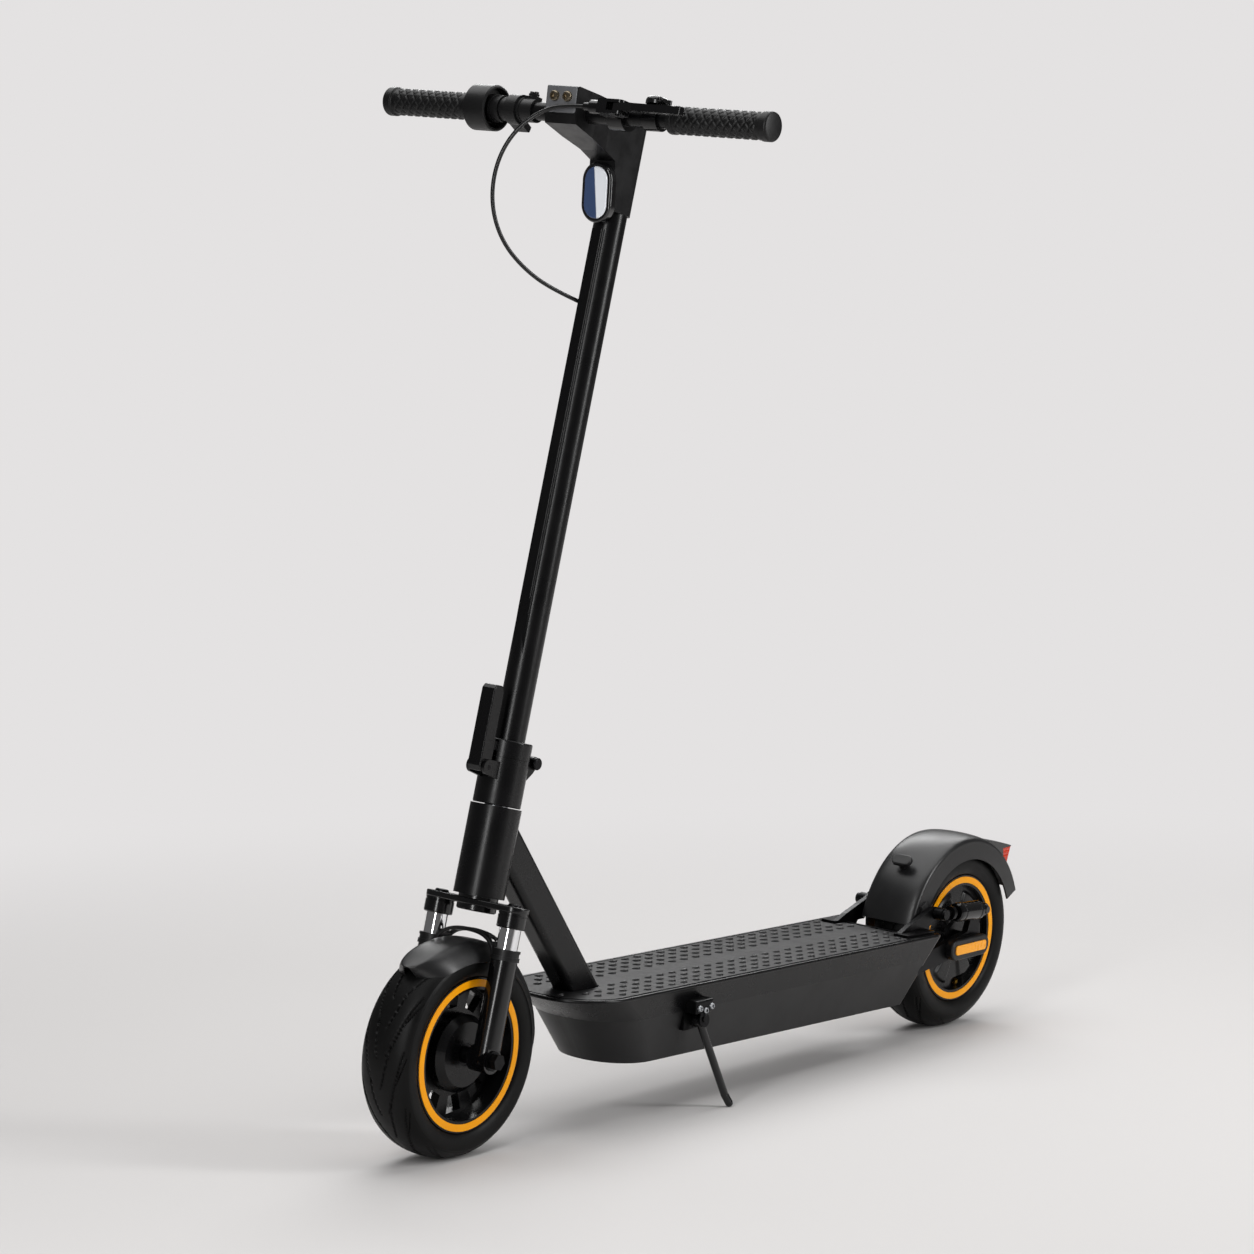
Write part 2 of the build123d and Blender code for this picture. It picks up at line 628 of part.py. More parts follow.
def make_latch_lever():
    x, z = LATCH_PIN
    outline = [(x - 6, z - 6), (x + 7, z - 6), (x + 12, z), (x + 12, z + 92), (x + 8, z + 97), (x - 3, z + 97),
               (x - 7, z + 90), (x - 7, z + 40), (x - 9, z + 32), (x - 9, z + 12)]
    lever = side_plate(outline, -LATCH_HALF, LATCH_HALF)
    lever = ease(lever, 2.5, lambda s: s.edges().filter_by(Axis.Y))
    lever = ease(lever, 1.5, lambda s: s.edges().group_by(Axis.Y)[-1])
    return lever - across(3.0 + RUN, -30, 30, x, z)


# deck, in the deck's own frame with its top plane at Z = 0 ------------------------------

DECK_BODY = Pos(0, 0, DECK_TOP_Z) * Rot(0, -DECK_PITCH, 0)


def deck_outline(front, rear, half, nose_r, grow=0.0):
    """Long plan outline with a round nose and small rear corners."""
    rect = Pos((front + rear) / 2, 0) * Rectangle(front - rear + 2 * grow, 2 * (half + grow))
    corners = rect.vertices().group_by(Axis.X)
    nose = fillet(corners[-1], nose_r + grow)
    return fillet(nose.vertices().group_by(Axis.X)[0], DECK_TAIL_R + grow)


BAND_NOSE = DECK_NOSE_X - BAND_NOSE_BACK
BAND_HALF = DECK_HALF - BAND_IN
TRAY_NOSE = BAND_NOSE - TRAY_NOSE_BACK
TRAY_HALF = BAND_HALF - TRAY_IN
TRAY_REAR_X = DECK_REAR_X + TRAY_REAR_RAKE
BAND_REAR_X = DECK_REAR_X + 20.0


def band_loft(grow, top, drop):
    upper = deck_outline(DECK_NOSE_X, DECK_REAR_X, DECK_HALF, DECK_NOSE_R, grow)
    lower = deck_outline(BAND_NOSE, BAND_REAR_X, BAND_HALF, DECK_NOSE_R - 6, grow)
    return loft([Pos(0, 0, -top) * upper, Pos(0, 0, -drop) * lower], ruled=True)


def tray_loft(grow, top, bottom):
    upper = deck_outline(BAND_NOSE, BAND_REAR_X, BAND_HALF, DECK_NOSE_R - 6, grow)
    lower = deck_outline(TRAY_NOSE, TRAY_REAR_X, TRAY_HALF, DECK_NOSE_R - 15, grow)
    return loft([Pos(0, 0, -top) * upper, Pos(0, 0, -bottom) * lower], ruled=True)


def wheel_bay():
    bay = block(60, WHEEL_BAY_X, -WHEEL_BAY_HALF, WHEEL_BAY_HALF, -200, 60)
    return ease(bay, 12, lambda s: s.edges().filter_by(Axis.Z).group_by(Axis.X)[-1])


def make_deck_frame():
    lip = 3.0
    rim = Pos(0, 0, -lip) * extrude(deck_outline(DECK_NOSE_X, DECK_REAR_X, DECK_HALF, DECK_NOSE_R), lip)
    shell = rim + band_loft(0.0, lip, BAND_DROP)
    hollow = band_loft(-DECK_WALL, lip + 1.0, BAND_DROP + 0.01)
    keep = block(WHEEL_BAY_X + 4, DECK_NOSE_X + 50, -200, 200, -200, 0)
    shell = shell - (hollow & keep)
    shell = shell - wheel_bay()
    plate = block(PLATE_REAR_X, WHEEL_BAY_X + 1, -WHEEL_BAY_HALF - 1, WHEEL_BAY_HALF + 1, -lip, 0)
    for y in (-44, -22, 0, 22, 44):
        plate = plate - Pos(PLATE_SLOT_X, y, -10) * extrude(SlotOverall(14, 4.5, rotation=90), 20)
    return (shell + plate) - mat_plan(0.0, 5.0)


def mat_plan(clearance, thick):
    """The mat's plan: inside the rim, narrowed to a tongue between the shock brackets."""
    outline = deck_outline(DECK_NOSE_X, DECK_REAR_X, DECK_HALF, DECK_NOSE_R, -MAT_MARGIN - clearance)
    body = Pos(0, 0, -1.0) * extrude(outline, thick)
    body = body & block(MAT_REAR_X + clearance, DECK_NOSE_X, -DECK_HALF, DECK_HALF, -50, 50)
    for side in (-1, 1):
        y0, y1 = sorted((side * (MAT_TONGUE_HALF - clearance), side * DECK_HALF))
        body = body - block(0, MAT_TONGUE_X + clearance, y0, y1, -50, 50)
    return body


def make_deck_mat():
    return mat_plan(GAP, MAT_THICK) - DECK_BODY.inverse() * down_tube_bar(1.0)


def make_tray():
    top = BAND_DROP
    bottom = BAND_DROP + TRAY_DROP
    shell = tray_loft(0.0, top, bottom)
    hollow = tray_loft(-DECK_WALL, top - 0.01, bottom - DECK_WALL)
    keep = block(WHEEL_BAY_X + 4, DECK_NOSE_X + 50, -200, 200, -200, 0)
    return shell - (hollow & keep) - wheel_bay()


def make_battery():
    return block(330, 740, -50, 50, -BAND_DROP - TRAY_DROP + DECK_WALL, -34)


def make_controller():
    return block(222, 318, -42, 42, -BAND_DROP - TRAY_DROP + DECK_WALL, -52)


# down tube, bike frame ---------------------------------------------------------------

TUBE_HALF = 17.0
TUBE_DEEP = 46.0
TUBE_FOOT_BACK = 76.0
TUBE_FOOT_X = DECK_NOSE_X - TUBE_FOOT_BACK
TUBE_ANGLE = 51.2


def down_tube_bar(grow=0.0):
    a = math.radians(TUBE_ANGLE)
    foot = Vector(TUBE_FOOT_X, 0, 170)
    way = Vector(math.cos(a), 0, math.sin(a))
    plane = Plane(origin=foot - way * 30, x_dir=(0, 1, 0), z_dir=way)
    section = RectangleRounded(2 * (TUBE_HALF + grow), TUBE_DEEP + 2 * grow, 9 + grow)
    return plane.location * extrude(section, 330)


def column(shape):
    """Column frame into the bike frame."""
    plane = Plane(origin=(WHEELBASE, 0, TYRE_R), x_dir=(math.cos(math.radians(RAKE)), 0,
                  math.sin(math.radians(RAKE))), z_dir=(-math.sin(math.radians(RAKE)), 0,
                  math.cos(math.radians(RAKE))))
    return plane.location * shape


def make_down_tube():
    bar = down_tube_bar()
    top_trim = column(block(-HEAD_TUBE_R - 60, 200, -60, 60, HEAD_TUBE_TOP - 14, 600))
    bar = bar - column(upright(HEAD_TUBE_R, 100, 400)) - column(block(-10, 200, -60, 60, 100, 400)) - top_trim
    below = DECK_BODY * block(0, 2000, -300, 300, -300, -1.0)
    pieces = (bar - below).solids().sort_by(SortBy.VOLUME)
    return pieces[-1]


# rear end, bike frame ----------------------------------------------------------------

def at_rear(shape):
    """Rear-axle frame into the bike frame."""
    return Pos(0, 0, TYRE_R) * shape


def make_swingarm():
    arm = side_plate([(PIVOT_X - 2, PIVOT_Z - 12), (PIVOT_X + 6, PIVOT_Z - 6), (PIVOT_X + 6, PIVOT_Z + 8),
                      (PIVOT_X - 6, PIVOT_Z + 12), (10, TYRE_R + 15), (-10, TYRE_R + 15), (-17, TYRE_R + 4),
                      (-12, TYRE_R - 14), (20, TYRE_R - 15)], ARM_IN, ARM_OUT)
    mast = side_plate([(-15, TYRE_R), (20, TYRE_R), (SHOCK_REAR[0] + 7, SHOCK_REAR[1] + 5),
                       (SHOCK_REAR[0] - 6, SHOCK_REAR[1] + 5)], ARM_IN, ARM_OUT)
    side = arm + mast
    side = side - across(AXLE_R, 0, 100, 0, TYRE_R)
    solid = across(8.0, -WHEEL_BAY_HALF - 8, WHEEL_BAY_HALF + 8, PIVOT_X, PIVOT_Z)
    for piece in both_sides(side):
        solid = solid + piece
    return solid


REAR_NUT_R = 8.0
REAR_NUT_DEEP = 6.0


def make_rear_axle():
    bolt = across(AXLE_R, -ARM_OUT - REAR_NUT_DEEP, ARM_OUT + REAR_NUT_DEEP, 0, TYRE_R)
    for side in (-1, 1):
        y0 = 30 + GAP if side > 0 else -ARM_IN
        bolt = bolt + across(10, y0, y0 + ARM_IN - 30 - GAP, 0, TYRE_R)
        y1 = ARM_OUT if side > 0 else -ARM_OUT - REAR_NUT_DEEP
        bolt = bolt + across(REAR_NUT_R, y1, y1 + REAR_NUT_DEEP, 0, TYRE_R)
    return bolt


COVER_X = 20.0
COVER_Z = 122.0
COVER_LONG = 92.0
COVER_TALL = 29.0


def make_axle_covers():
    slot = extrude(SlotOverall(COVER_LONG, COVER_TALL), 11)
    slot = ease(slot, 2.5, lambda s: s.edges().group_by(Axis.Z)[-1])
    slot = slot - extrude(SlotOverall(COVER_LONG - 6, COVER_TALL - 6), 7)
    cover = Pos(COVER_X, ARM_OUT, COVER_Z) * Rot(-90, 0, 0) * slot
    cover = cover - across(REAR_NUT_R + GAP, ARM_OUT - 1, ARM_OUT + REAR_NUT_DEEP + GAP, 0, TYRE_R)
    return both_sides(cover)


def make_reflectors():
    strip = extrude(RectangleRounded(74, 13, 4), 1.2)
    strip = Pos(COVER_X, ARM_OUT + 11, COVER_Z) * Rot(-90, 0, 0) * strip
    return both_sides(strip)


REAR_FENDER_R = 141.0


def make_rear_fender():
    r = REAR_FENDER_R
    t = FENDER_THICK
    shell = turned([(r, -27), (r, 27), (r - 2, 33), (r - 6, 37.5), (r - 30, 41), (r - 30, 41 + t),
                    (r - 5, 37.5 + t),
                    (r - 0.5, 35), (r + t, 28), (r + t, -28), (r - 0.5, -35), (r - 5, -37.5 - t),
                    (r - 30, -41 - t), (r - 30, -41), (r - 6, -37.5), (r - 2, -33)])
    shell = sector_cut(shell, 15, 157)
    stay = side_plate([(100, 20), (112, 24), (117, 40), (108, 62), (98, 52)], 41.5, ARM_IN)
    stay = stay + side_plate([(92, -12), (112, -14), (114, 40), (98, 52)], 43.5, ARM_IN)
    shell = at_rear(shell)
    for piece in both_sides(at_rear(stay)):
        shell = shell + piece
    wedge = side_plate([(-84, 110), (-104, 118), (-134, 112), (-125.5, 87.4), (-108, 92)], -24, 24)
    wedge = ease(wedge, 2.0, lambda s: s.edges().filter_by(Axis.Y).group_by(Axis.Z)[-1])
    tyre_space = turned([(0, -60), (0, 60), (r + 0.5, 60), (r + 0.5, -60)])
    shell = shell + at_rear(wedge - tyre_space - tail_light_space())
    return shell


TAIL_LIGHT = [(-113, 111.2), (-133, 112), (-124.4, 87), (-115, 88)]
TAIL_LIGHT_HALF = 23.7


def tail_light_space():
    """Notch for the lens, open to the rear and both sides, a gap larger than the lens."""
    (x0, z0), (x1, z1), (x2, z2), (x3, z3) = TAIL_LIGHT
    outline = [(x0 + GAP, z0 + GAP), (x1 - 30, z1 + 2), (x2 - 30, z2 - 3), (x3 + GAP, z3 - GAP)]
    return side_plate(outline, -TAIL_LIGHT_HALF - 5, TAIL_LIGHT_HALF + 5)


def make_tail_light():
    body = side_plate(TAIL_LIGHT, -TAIL_LIGHT_HALF, TAIL_LIGHT_HALF)
    tyre_space = turned([(0, -60), (0, 60), (REAR_FENDER_R + 0.5, 60), (REAR_FENDER_R + 0.5, -60)])
    return at_rear(body - tyre_space)


def make_fender_hook():
    a = math.radians(48)
    way = (math.cos(a), 0, math.sin(a))
    start = REAR_FENDER_R + FENDER_THICK
    plane = Plane(origin=(start * way[0], 0, start * way[2]), x_dir=(0, 1, 0), z_dir=way)
    post = upright(7.0, 0, 10)
    head = Pos(0, 0, 10) * extrude(SlotOverall(31, 17), 5)
    head = ease(head, 1.8, lambda s: s.edges().group_by(Axis.Z)[-1])
    return at_rear(plane.location * (post + head))


def shock_frame(distance, side):
    """A point on the shock's line, a distance back from its front eye."""
    fx, fz = SHOCK_FRONT
    rx, rz = SHOCK_REAR
    span = math.hypot(rx - fx, rz - fz)
    return (fx + (rx - fx) * distance / span, side * SHOCK_Y, fz + (rz - fz) * distance / span)


def make_shock_rods():
    parts = []
    for side in (-1, 1):
        y0 = ARM_OUT + GAP if side > 0 else -ARM_OUT - GAP - 13
        eye = across(8.5, y0, y0 + 13, *SHOCK_FRONT)
        shaft = rod(4.5, shock_frame(7, side), shock_frame(66, side))
        ball = rod(9.5, shock_frame(19, side), shock_frame(25, side))
        bore = across(4.0 + RUN, y0 - 1, y0 + 14, *SHOCK_FRONT)
        parts.append(eye + shaft + ball - bore)
    return parts


def make_shock_bodies():
    parts = []
    for side in (-1, 1):
        y0 = ARM_OUT + GAP if side > 0 else -ARM_OUT - GAP - 13
        eye = across(8.5, y0, y0 + 13, *SHOCK_REAR)
        can = rod(SHOCK_R, shock_frame(36, side), shock_frame(92, side))
        can = can + rod(7.5, shock_frame(90, side), shock_frame(103, side))
        trim = block(-300, 300, -ARM_OUT - GAP, ARM_OUT + GAP, 0, 400)
        bore = rod(4.5 + RUN, shock_frame(20, side), shock_frame(84, side))
        bolt = across(5.5, y0 + 13 if side > 0 else y0 - 4, y0 + 17 if side > 0 else y0, *SHOCK_REAR)
        parts.append((eye + can) - trim - bore + bolt)
    return parts


def make_shock_brackets():
    fx, fz = SHOCK_FRONT
    plate = side_plate([(fx - 8, fz - 4), (fx - 6, fz + 7), (fx + 6, fz + 8), (160, 168), (190, 156),
                        (118, 150), (112, 160)], ARM_IN + 2, ARM_OUT)
    pin = across(4.0, ARM_OUT, ARM_OUT + 18, fx, fz)
    head = across(7.0, ARM_OUT + 13.6 + GAP, ARM_OUT + 18, fx, fz)
    foot = DECK_BODY * block(120, 186, ARM_IN + 2, WHEEL_BAY_HALF + 12, 0, 4)
    whole = plate + foot + pin + head
    trim = DECK_BODY * block(0, 400, 0, 100, -100, 0)
    return both_sides(whole - trim)


# kickstand, bike frame ------------------------------------------------------------------

def stand_foot_point():
    """Lowest ball of the stand, set so that it and the leaned tyres meet one floor."""
    lean = math.radians(LEAN)
    crown = crown_radius()
    x, y = STAND_FOOT
    drop = crown * (1 - math.cos(lean))
    z = (STAND_R - drop + y * math.sin(lean)) / math.cos(lean)
    return (x, y, z)


def crown_radius():
    """Radius of the tread's crown arc across the tyre."""
    half = TYRE_HALF - 1
    rise = TYRE_R - (FRONT_RIM_R + 17)
    return (half * half + rise * rise) / (2 * rise)


def stand_axis():
    """Hinge line that carries the leg from its standing line back along the deck."""
    foot = Vector(*stand_foot_point()) - Vector(*STAND_PIVOT)
    stowed = Vector(-1, 0.04, -0.06)
    return foot.cross(stowed).normalized()


STAND_EYE = 8.0


def make_kickstand():
    pivot = Vector(*STAND_PIVOT)
    foot = Vector(*stand_foot_point())
    axis = stand_axis()
    knee = pivot + (foot - pivot) * 0.9 + Vector(0, -2.5, 0)
    start = pivot + (knee - pivot).normalized() * 4
    leg = rod(STAND_R, start, knee) + Pos(*knee) * Sphere(STAND_R)
    leg = leg + rod(STAND_R, knee, foot) + Pos(*foot) * Sphere(STAND_R)
    eye = rod(STAND_EYE, (pivot - axis * 5), (pivot + axis * 5))
    bore = rod(4.0 + RUN, (pivot - axis * 30), (pivot + axis * 30))
    return leg + eye - bore


def make_stand_bracket():
    pivot = Vector(*STAND_PIVOT)
    axis = stand_axis()
    x, y, z = STAND_PIVOT
    cheek_out = rod(9.5, (pivot + axis * (5 + GAP)), (pivot + axis * 9))
    cheek_in = rod(9.5, (pivot - axis * 9), (pivot - axis * (5 + GAP)))
    pin = rod(4.0, (pivot - axis * 9), (pivot + axis * 10.5))
    tie = block(x - 17, x + 17, BAND_HALF - 12, y + 9, z + 9.6, z + 26)
    tie = tie + block(x - 17, x + 17, BAND_HALF - 12, y - 10.5, z - 14, z + 20)
    tie = ease(tie, 3.0, lambda s: s.edges().group_by(Axis.Y)[-1])
    solid = cheek_in + cheek_out + pin + tie
    solid = solid + rod(7, (x, y + 6, z + 6), (x, y + 3, z + 16))
    cavity = DECK_BODY * (band_loft(0.0, 3.0, BAND_DROP) + tray_loft(0.0, BAND_DROP, BAND_DROP + TRAY_DROP)
                          + Pos(0, 0, -3) * extrude(deck_outline(DECK_NOSE_X, DECK_REAR_X, DECK_HALF,
                                                                 DECK_NOSE_R), 3))
    sweep_room = rod(STAND_EYE + 1, (pivot - axis * (5 + GAP)), (pivot + axis * (5 + GAP)))
    return solid - cavity - (sweep_room - pin)


# assembly ----------------------------------------------------------------------------

def build_nodes():
    """Every node in the bike frame."""
    col = {
        "front_tyre": make_tyre(FRONT_RIM_R),
        "front_rim": make_front_rim(),
        "front_stripes": make_stripes(FRONT_RIM_R),
        "front_bearings": make_front_bearings(),
        "front_axle": make_front_axle(),
        "axle_spacers": make_axle_spacers(),
        "fork_legs": make_fork_legs(),
        "dust_seals": make_dust_seals(),
        "fork_brace": make_fork_brace(),
        "front_fender": make_front_fender(),
        "fork_crown": make_crown(),
        "fork_stanchions": make_stanchions(),
        "steerer_tube": make_steerer(),
        "headset_bearings": make_headset(),
        "head_tube": make_head_tube(),
        "folding_base": make_folding_base(),
        "hinge_pins": make_hinge_pins(),
        "stem_collar": make_stem_collar(),
        "stem_tube": make_stem_tube(),
        "cable_spine": make_spine(),
        "stem_head": make_head(),
        "headlight_bezel": make_headlight_bezel(),
        "headlight_lens": make_headlight_lens(),
        "head_bolts": make_head_bolts(),
        "handlebar": make_handlebar(),
        "grip_left": make_grip(LEFT_GRIP_Y),
        "grip_right": mirror(make_grip(RIGHT_GRIP_Y), about=Plane.XZ),
        "throttle_drum": make_throttle_drum(),
        "throttle_paddle": make_throttle_paddle(),
        "switch_collar": make_switch_collar(),
        "mode_rocker": make_mode_rocker(),
        "brake_perch": make_brake_perch(),
        "brake_lever_pin": make_lever_pin(),
        "brake_lever": make_brake_lever(),
        "bell": make_bell(),
        "bell_hammer": make_bell_hammer(),
        "brake_cable": cord(CABLE_ROUTE, CABLE_R),
        "latch_lever": make_latch_lever(),
    }
    nodes = {name: ([column(s) for s in shape] if isinstance(shape, list) else column(shape))
             for name, shape in col.items()}
    nodes.update({
        "down_tube": make_down_tube(),
        "deck_frame": DECK_BODY * make_deck_frame(),
        "battery_tray": DECK_BODY * make_tray(),
        "deck_mat": DECK_BODY * make_deck_mat(),
        "battery_pack": DECK_BODY * make_battery(),
        "controller": DECK_BODY * make_controller(),
        "shock_brackets": make_shock_brackets(),
        "stand_bracket": make_stand_bracket(),
        "kickstand": make_kickstand(),
        "swingarm": make_swingarm(),
        "rear_axle": make_rear_axle(),
        "axle_covers": make_axle_covers(),
        "reflectors": make_reflectors(),
        "rear_fender": make_rear_fender(),
        "fender_hook": make_fender_hook(),
        "tail_light": make_tail_light(),
        "shock_rods": make_shock_rods(),
        "shock_bodies": make_shock_bodies(),
        "rear_tyre": at_rear(make_tyre(REAR_RIM_R)),
        "rear_motor": at_rear(make_rear_motor()),
        "rear_stripes": [at_rear(s) for s in make_stripes(REAR_RIM_R)],
        "rear_valve": at_rear(make_valve()),
    })
    # swingarm trunnions run in bores through the deck's cheeks
    bore = across(8.0 + RUN, -200, 200, PIVOT_X, PIVOT_Z)
    for name in ("deck_frame", "battery_tray"):
        nodes[name] = nodes[name] - bore
    return nodes


def solids_of(item):
    """The separate solids of a shape or of a list of shapes."""
    if isinstance(item, list):
        return [s for part in item for s in part.solids()]
    return list(item.solids())


def main():
    os.makedirs("parts", exist_ok=True)
    lean = Rot(-LEAN, 0, 0)
    nodes = {name: [lean * s for s in solids_of(item)] for name, item in build_nodes().items()}
    boxes = [s.bounding_box(optimal=True) for solids in nodes.values() for s in solids]
    low = [min(getattr(b.min, k) for b in boxes) for k in "XYZ"]
    high = [max(getattr(b.max, k) for b in boxes) for k in "XYZ"]
    shift = Pos(-(low[0] + high[0]) / 2, -(low[1] + high[1]) / 2, -low[2])
    print("shift", [round(v, 4) for v in shift.position])
    print("size", [round(high[i] - low[i], 2) for i in range(3)])
    for name, solids in nodes.items():
        moved = [shift * s for s in solids]
        export_step(moved[0] if len(moved) == 1 else Compound(children=moved), f"parts/{name}.step")
    return shift


if __name__ == "__main__":
    main()
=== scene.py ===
"""Looks of a folding electric kick scooter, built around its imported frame.

Lengths are millimetres in one of four local frames, and every piece is turned to metres in the shared frame
as it is made. The frames are bike (X forward, Y left, Z up, origin on the ground under the rear axle), column
(origin at the front axle, Z up the steering axis), deck (bike frame, raised and pitched with the deck) and
rear (bike frame, origin at the rear axle).
"""
import json
import math

import bpy
import numpy as np
from mathutils import Matrix, Vector


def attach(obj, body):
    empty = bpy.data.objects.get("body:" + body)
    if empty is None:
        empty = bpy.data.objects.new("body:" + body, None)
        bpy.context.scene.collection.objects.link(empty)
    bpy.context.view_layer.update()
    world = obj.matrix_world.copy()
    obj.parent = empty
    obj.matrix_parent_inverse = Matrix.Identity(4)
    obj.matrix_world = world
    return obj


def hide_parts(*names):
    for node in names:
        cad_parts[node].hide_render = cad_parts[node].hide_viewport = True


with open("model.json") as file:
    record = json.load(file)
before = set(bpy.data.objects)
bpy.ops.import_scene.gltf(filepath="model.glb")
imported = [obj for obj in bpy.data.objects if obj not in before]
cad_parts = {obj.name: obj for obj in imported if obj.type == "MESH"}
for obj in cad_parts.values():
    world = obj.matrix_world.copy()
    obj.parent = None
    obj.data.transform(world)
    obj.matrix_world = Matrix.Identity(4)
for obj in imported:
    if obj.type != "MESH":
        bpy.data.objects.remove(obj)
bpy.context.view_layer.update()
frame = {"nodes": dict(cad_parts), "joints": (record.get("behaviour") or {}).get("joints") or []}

NODES = frame["nodes"]
JOINTS = {joint["name"]: joint for joint in frame["joints"]}

# sizes, mm ----------------------------------------------------------------------------

TYRE_R = 127.0
TYRE_HALF = 37.0
FRONT_RIM_R = 93.0
REAR_RIM_R = 87.0
BAR_X = 103.0
BAR_Z = 1109.0
BAR_HALF = 283.0
GRIP_R = 16.5
LEFT_GRIP_Y = 143.0
RIGHT_GRIP_Y = 154.0
DECK_TOP_Z = 153.4
DECK_PITCH = math.radians(1.09)
DECK_NOSE_X = 888.0
DECK_NOSE_R = 75.0
MAT_HALF = 74.0
MAT_TONGUE_X = 190.0
MAT_TONGUE_HALF = 46.0
TUBE_FOOT = (770.0, 862.0)
MAT_TOP = 1.0
CABLE_R = 2.5
LEVER_Z = 1111.0
CABLE_ROUTE = [(138, 47, LEVER_Z), (138, 20, LEVER_Z), (142, -9, 1106), (149, -37, 1086),
               (152, -58, 1054), (147, -69, 1016), (134, -70, 978), (113, -61, 945), (84, -45, 922),
               (51, -28, 908), (14, -10, 901)]


# frames -------------------------------------------------------------------------------

def unit(vector):
    vector = np.array(vector, dtype=float)
    return vector / np.linalg.norm(vector)


FRONT_AXLE = np.array(JOINTS["front_wheel_spin"]["pos_m"])
REAR_AXLE = np.array(JOINTS["rear_wheel_spin"]["pos_m"])
LEFT = unit(JOINTS["front_wheel_spin"]["axis"])
STEER = unit(JOINTS["steering_turn"]["axis"])
FORWARD = unit(FRONT_AXLE - REAR_AXLE)
UP = unit(np.cross(FORWARD, LEFT))


def local_frame(origin, x, y, z):
    return np.array(origin, dtype=float), np.array([x, y, z], dtype=float)


BIKE = local_frame(REAR_AXLE - UP * TYRE_R / 1000, FORWARD, LEFT, UP)
REAR = local_frame(REAR_AXLE, FORWARD, LEFT, UP)
COLUMN = local_frame(FRONT_AXLE, np.cross(LEFT, STEER), LEFT, STEER)
DECK_X = FORWARD * math.cos(DECK_PITCH) + UP * math.sin(DECK_PITCH)
DECK = local_frame(BIKE[0] + UP * DECK_TOP_Z / 1000, DECK_X, LEFT, np.cross(DECK_X, LEFT))


def place(home, points):
    """Millimetres in a local frame to metres in the shared frame."""
    origin, axes = home
    return origin + np.asarray(points, dtype=float) / 1000 @ axes


def inner(home, centre, z, x):
    """A frame inside another: its origin, its Z way and roughly its X way."""
    origin, axes = home
    z = unit(z)
    x = unit(np.array(x, dtype=float) - np.dot(x, z) * z)
    y = np.cross(z, x)
    return place(home, centre), np.array([x, y, z]) @ axes


# surfaces -----------------------------------------------------------------------------

def full_turn(steps):
    """Angles evenly round a circle, in radians, without the last one that meets the first."""
    return np.linspace(0, 2 * math.pi, steps, endpoint=False)


def eased(share):
    """A share from nothing to one, with a smooth start and end."""
    return share * share * (3 - 2 * share)


def about_y(y, radius, turn):
    """Points at a radius and an angle about the Y axis, counted from X towards Z."""
    x = radius * np.cos(turn)
    return np.stack([x, np.broadcast_to(y, x.shape), radius * np.sin(turn)], axis=2)


def grid_faces(rows, columns, wrap_rows, wrap_columns):
    """Four-cornered faces between neighbouring points of a grid, closed round where it wraps."""
    index = np.arange(rows * columns).reshape(rows, columns)
    if wrap_rows:
        index = np.vstack([index, index[:1]])
    if wrap_columns:
        index = np.hstack([index, index[:, :1]])
    corners = [index[:-1, :-1], index[1:, :-1], index[1:, 1:], index[:-1, 1:]]
    return np.stack([c.ravel() for c in corners], axis=1).tolist()


def closed_surface(points, wrap_rows=False, wrap_columns=False, ends=False):
    """Points on a grid as a mesh part; ends closes the first and last row with one face each."""
    rows, columns = points.shape[:2]
    faces = grid_faces(rows, columns, wrap_rows, wrap_columns)
    if ends:
        faces.append(list(range(columns)))
        faces.append(list(range((rows - 1) * columns, rows * columns))[::-1])
    flat = points.reshape(-1, 3)
    middle = flat.mean(axis=0)
    volume = 0.0
    for face in faces:
        ring = flat[face] - middle
        volume += np.einsum("i,ji->", ring[0], np.cross(ring[1:-1], ring[2:]))
    if volume < 0:
        faces = [face[::-1] for face in faces]
    return flat, faces


def turned(outline, segments=64, loop=False):
    """An outline of (radius, height) turned about Z; a loop outline meets itself, another gets flat ends."""
    outline = np.asarray(outline, dtype=float)
    turn = full_turn(segments)
    radius = outline[:, 0][:, None]
    height = np.repeat(outline[:, 1][:, None], segments, axis=1)
    points = np.stack([radius * np.cos(turn), radius * np.sin(turn), height], axis=2)
    return closed_surface(points, loop, True, not loop)


def joined(parts):
    """Several mesh parts as one."""
    points = []
    faces = []
    count = 0
    for flat, part_faces in parts:
        points.append(flat)
        faces.extend([[i + count for i in face] for face in part_faces])
        count += len(flat)
    return np.vstack(points), faces


def in_scene(name, data):
    """A new object of that name, linked at the origin."""
    thing = bpy.data.objects.new(name, data)
    bpy.context.scene.collection.objects.link(thing)
    return thing


def made(name, part, material, body, crease=35, stands_for=()):
    """A finished piece from a mesh part in metres: smooth but for edges sharper than the crease angle."""
    points, faces = part
    mesh = bpy.data.meshes.new(name)
    mesh.from_pydata(np.asarray(points).tolist(), [], faces)
    mesh.update()
    mesh.polygons.foreach_set("use_smooth", np.ones(len(mesh.polygons), dtype=bool))
    mesh.set_sharp_from_angle(angle=math.radians(crease))
    mesh.materials.append(material)
    piece = in_scene(name, mesh)
    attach(piece, body)
    if stands_for:
        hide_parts(*stands_for)
    return piece


def in_place(home, part):
    """A mesh part in millimetres moved from its local frame to the shared one, in metres."""
    points, faces = part
    return place(home, points), faces


# materials ----------------------------------------------------------------------------

def linear(code):
    """sRGB hex to linear RGBA."""
    values = [int(code[i:i + 2], 16) / 255 for i in (1, 3, 5)]
    return [v / 12.92 if v <= 0.04045 else ((v + 0.055) / 1.055) ** 2.4 for v in values] + [1.0]


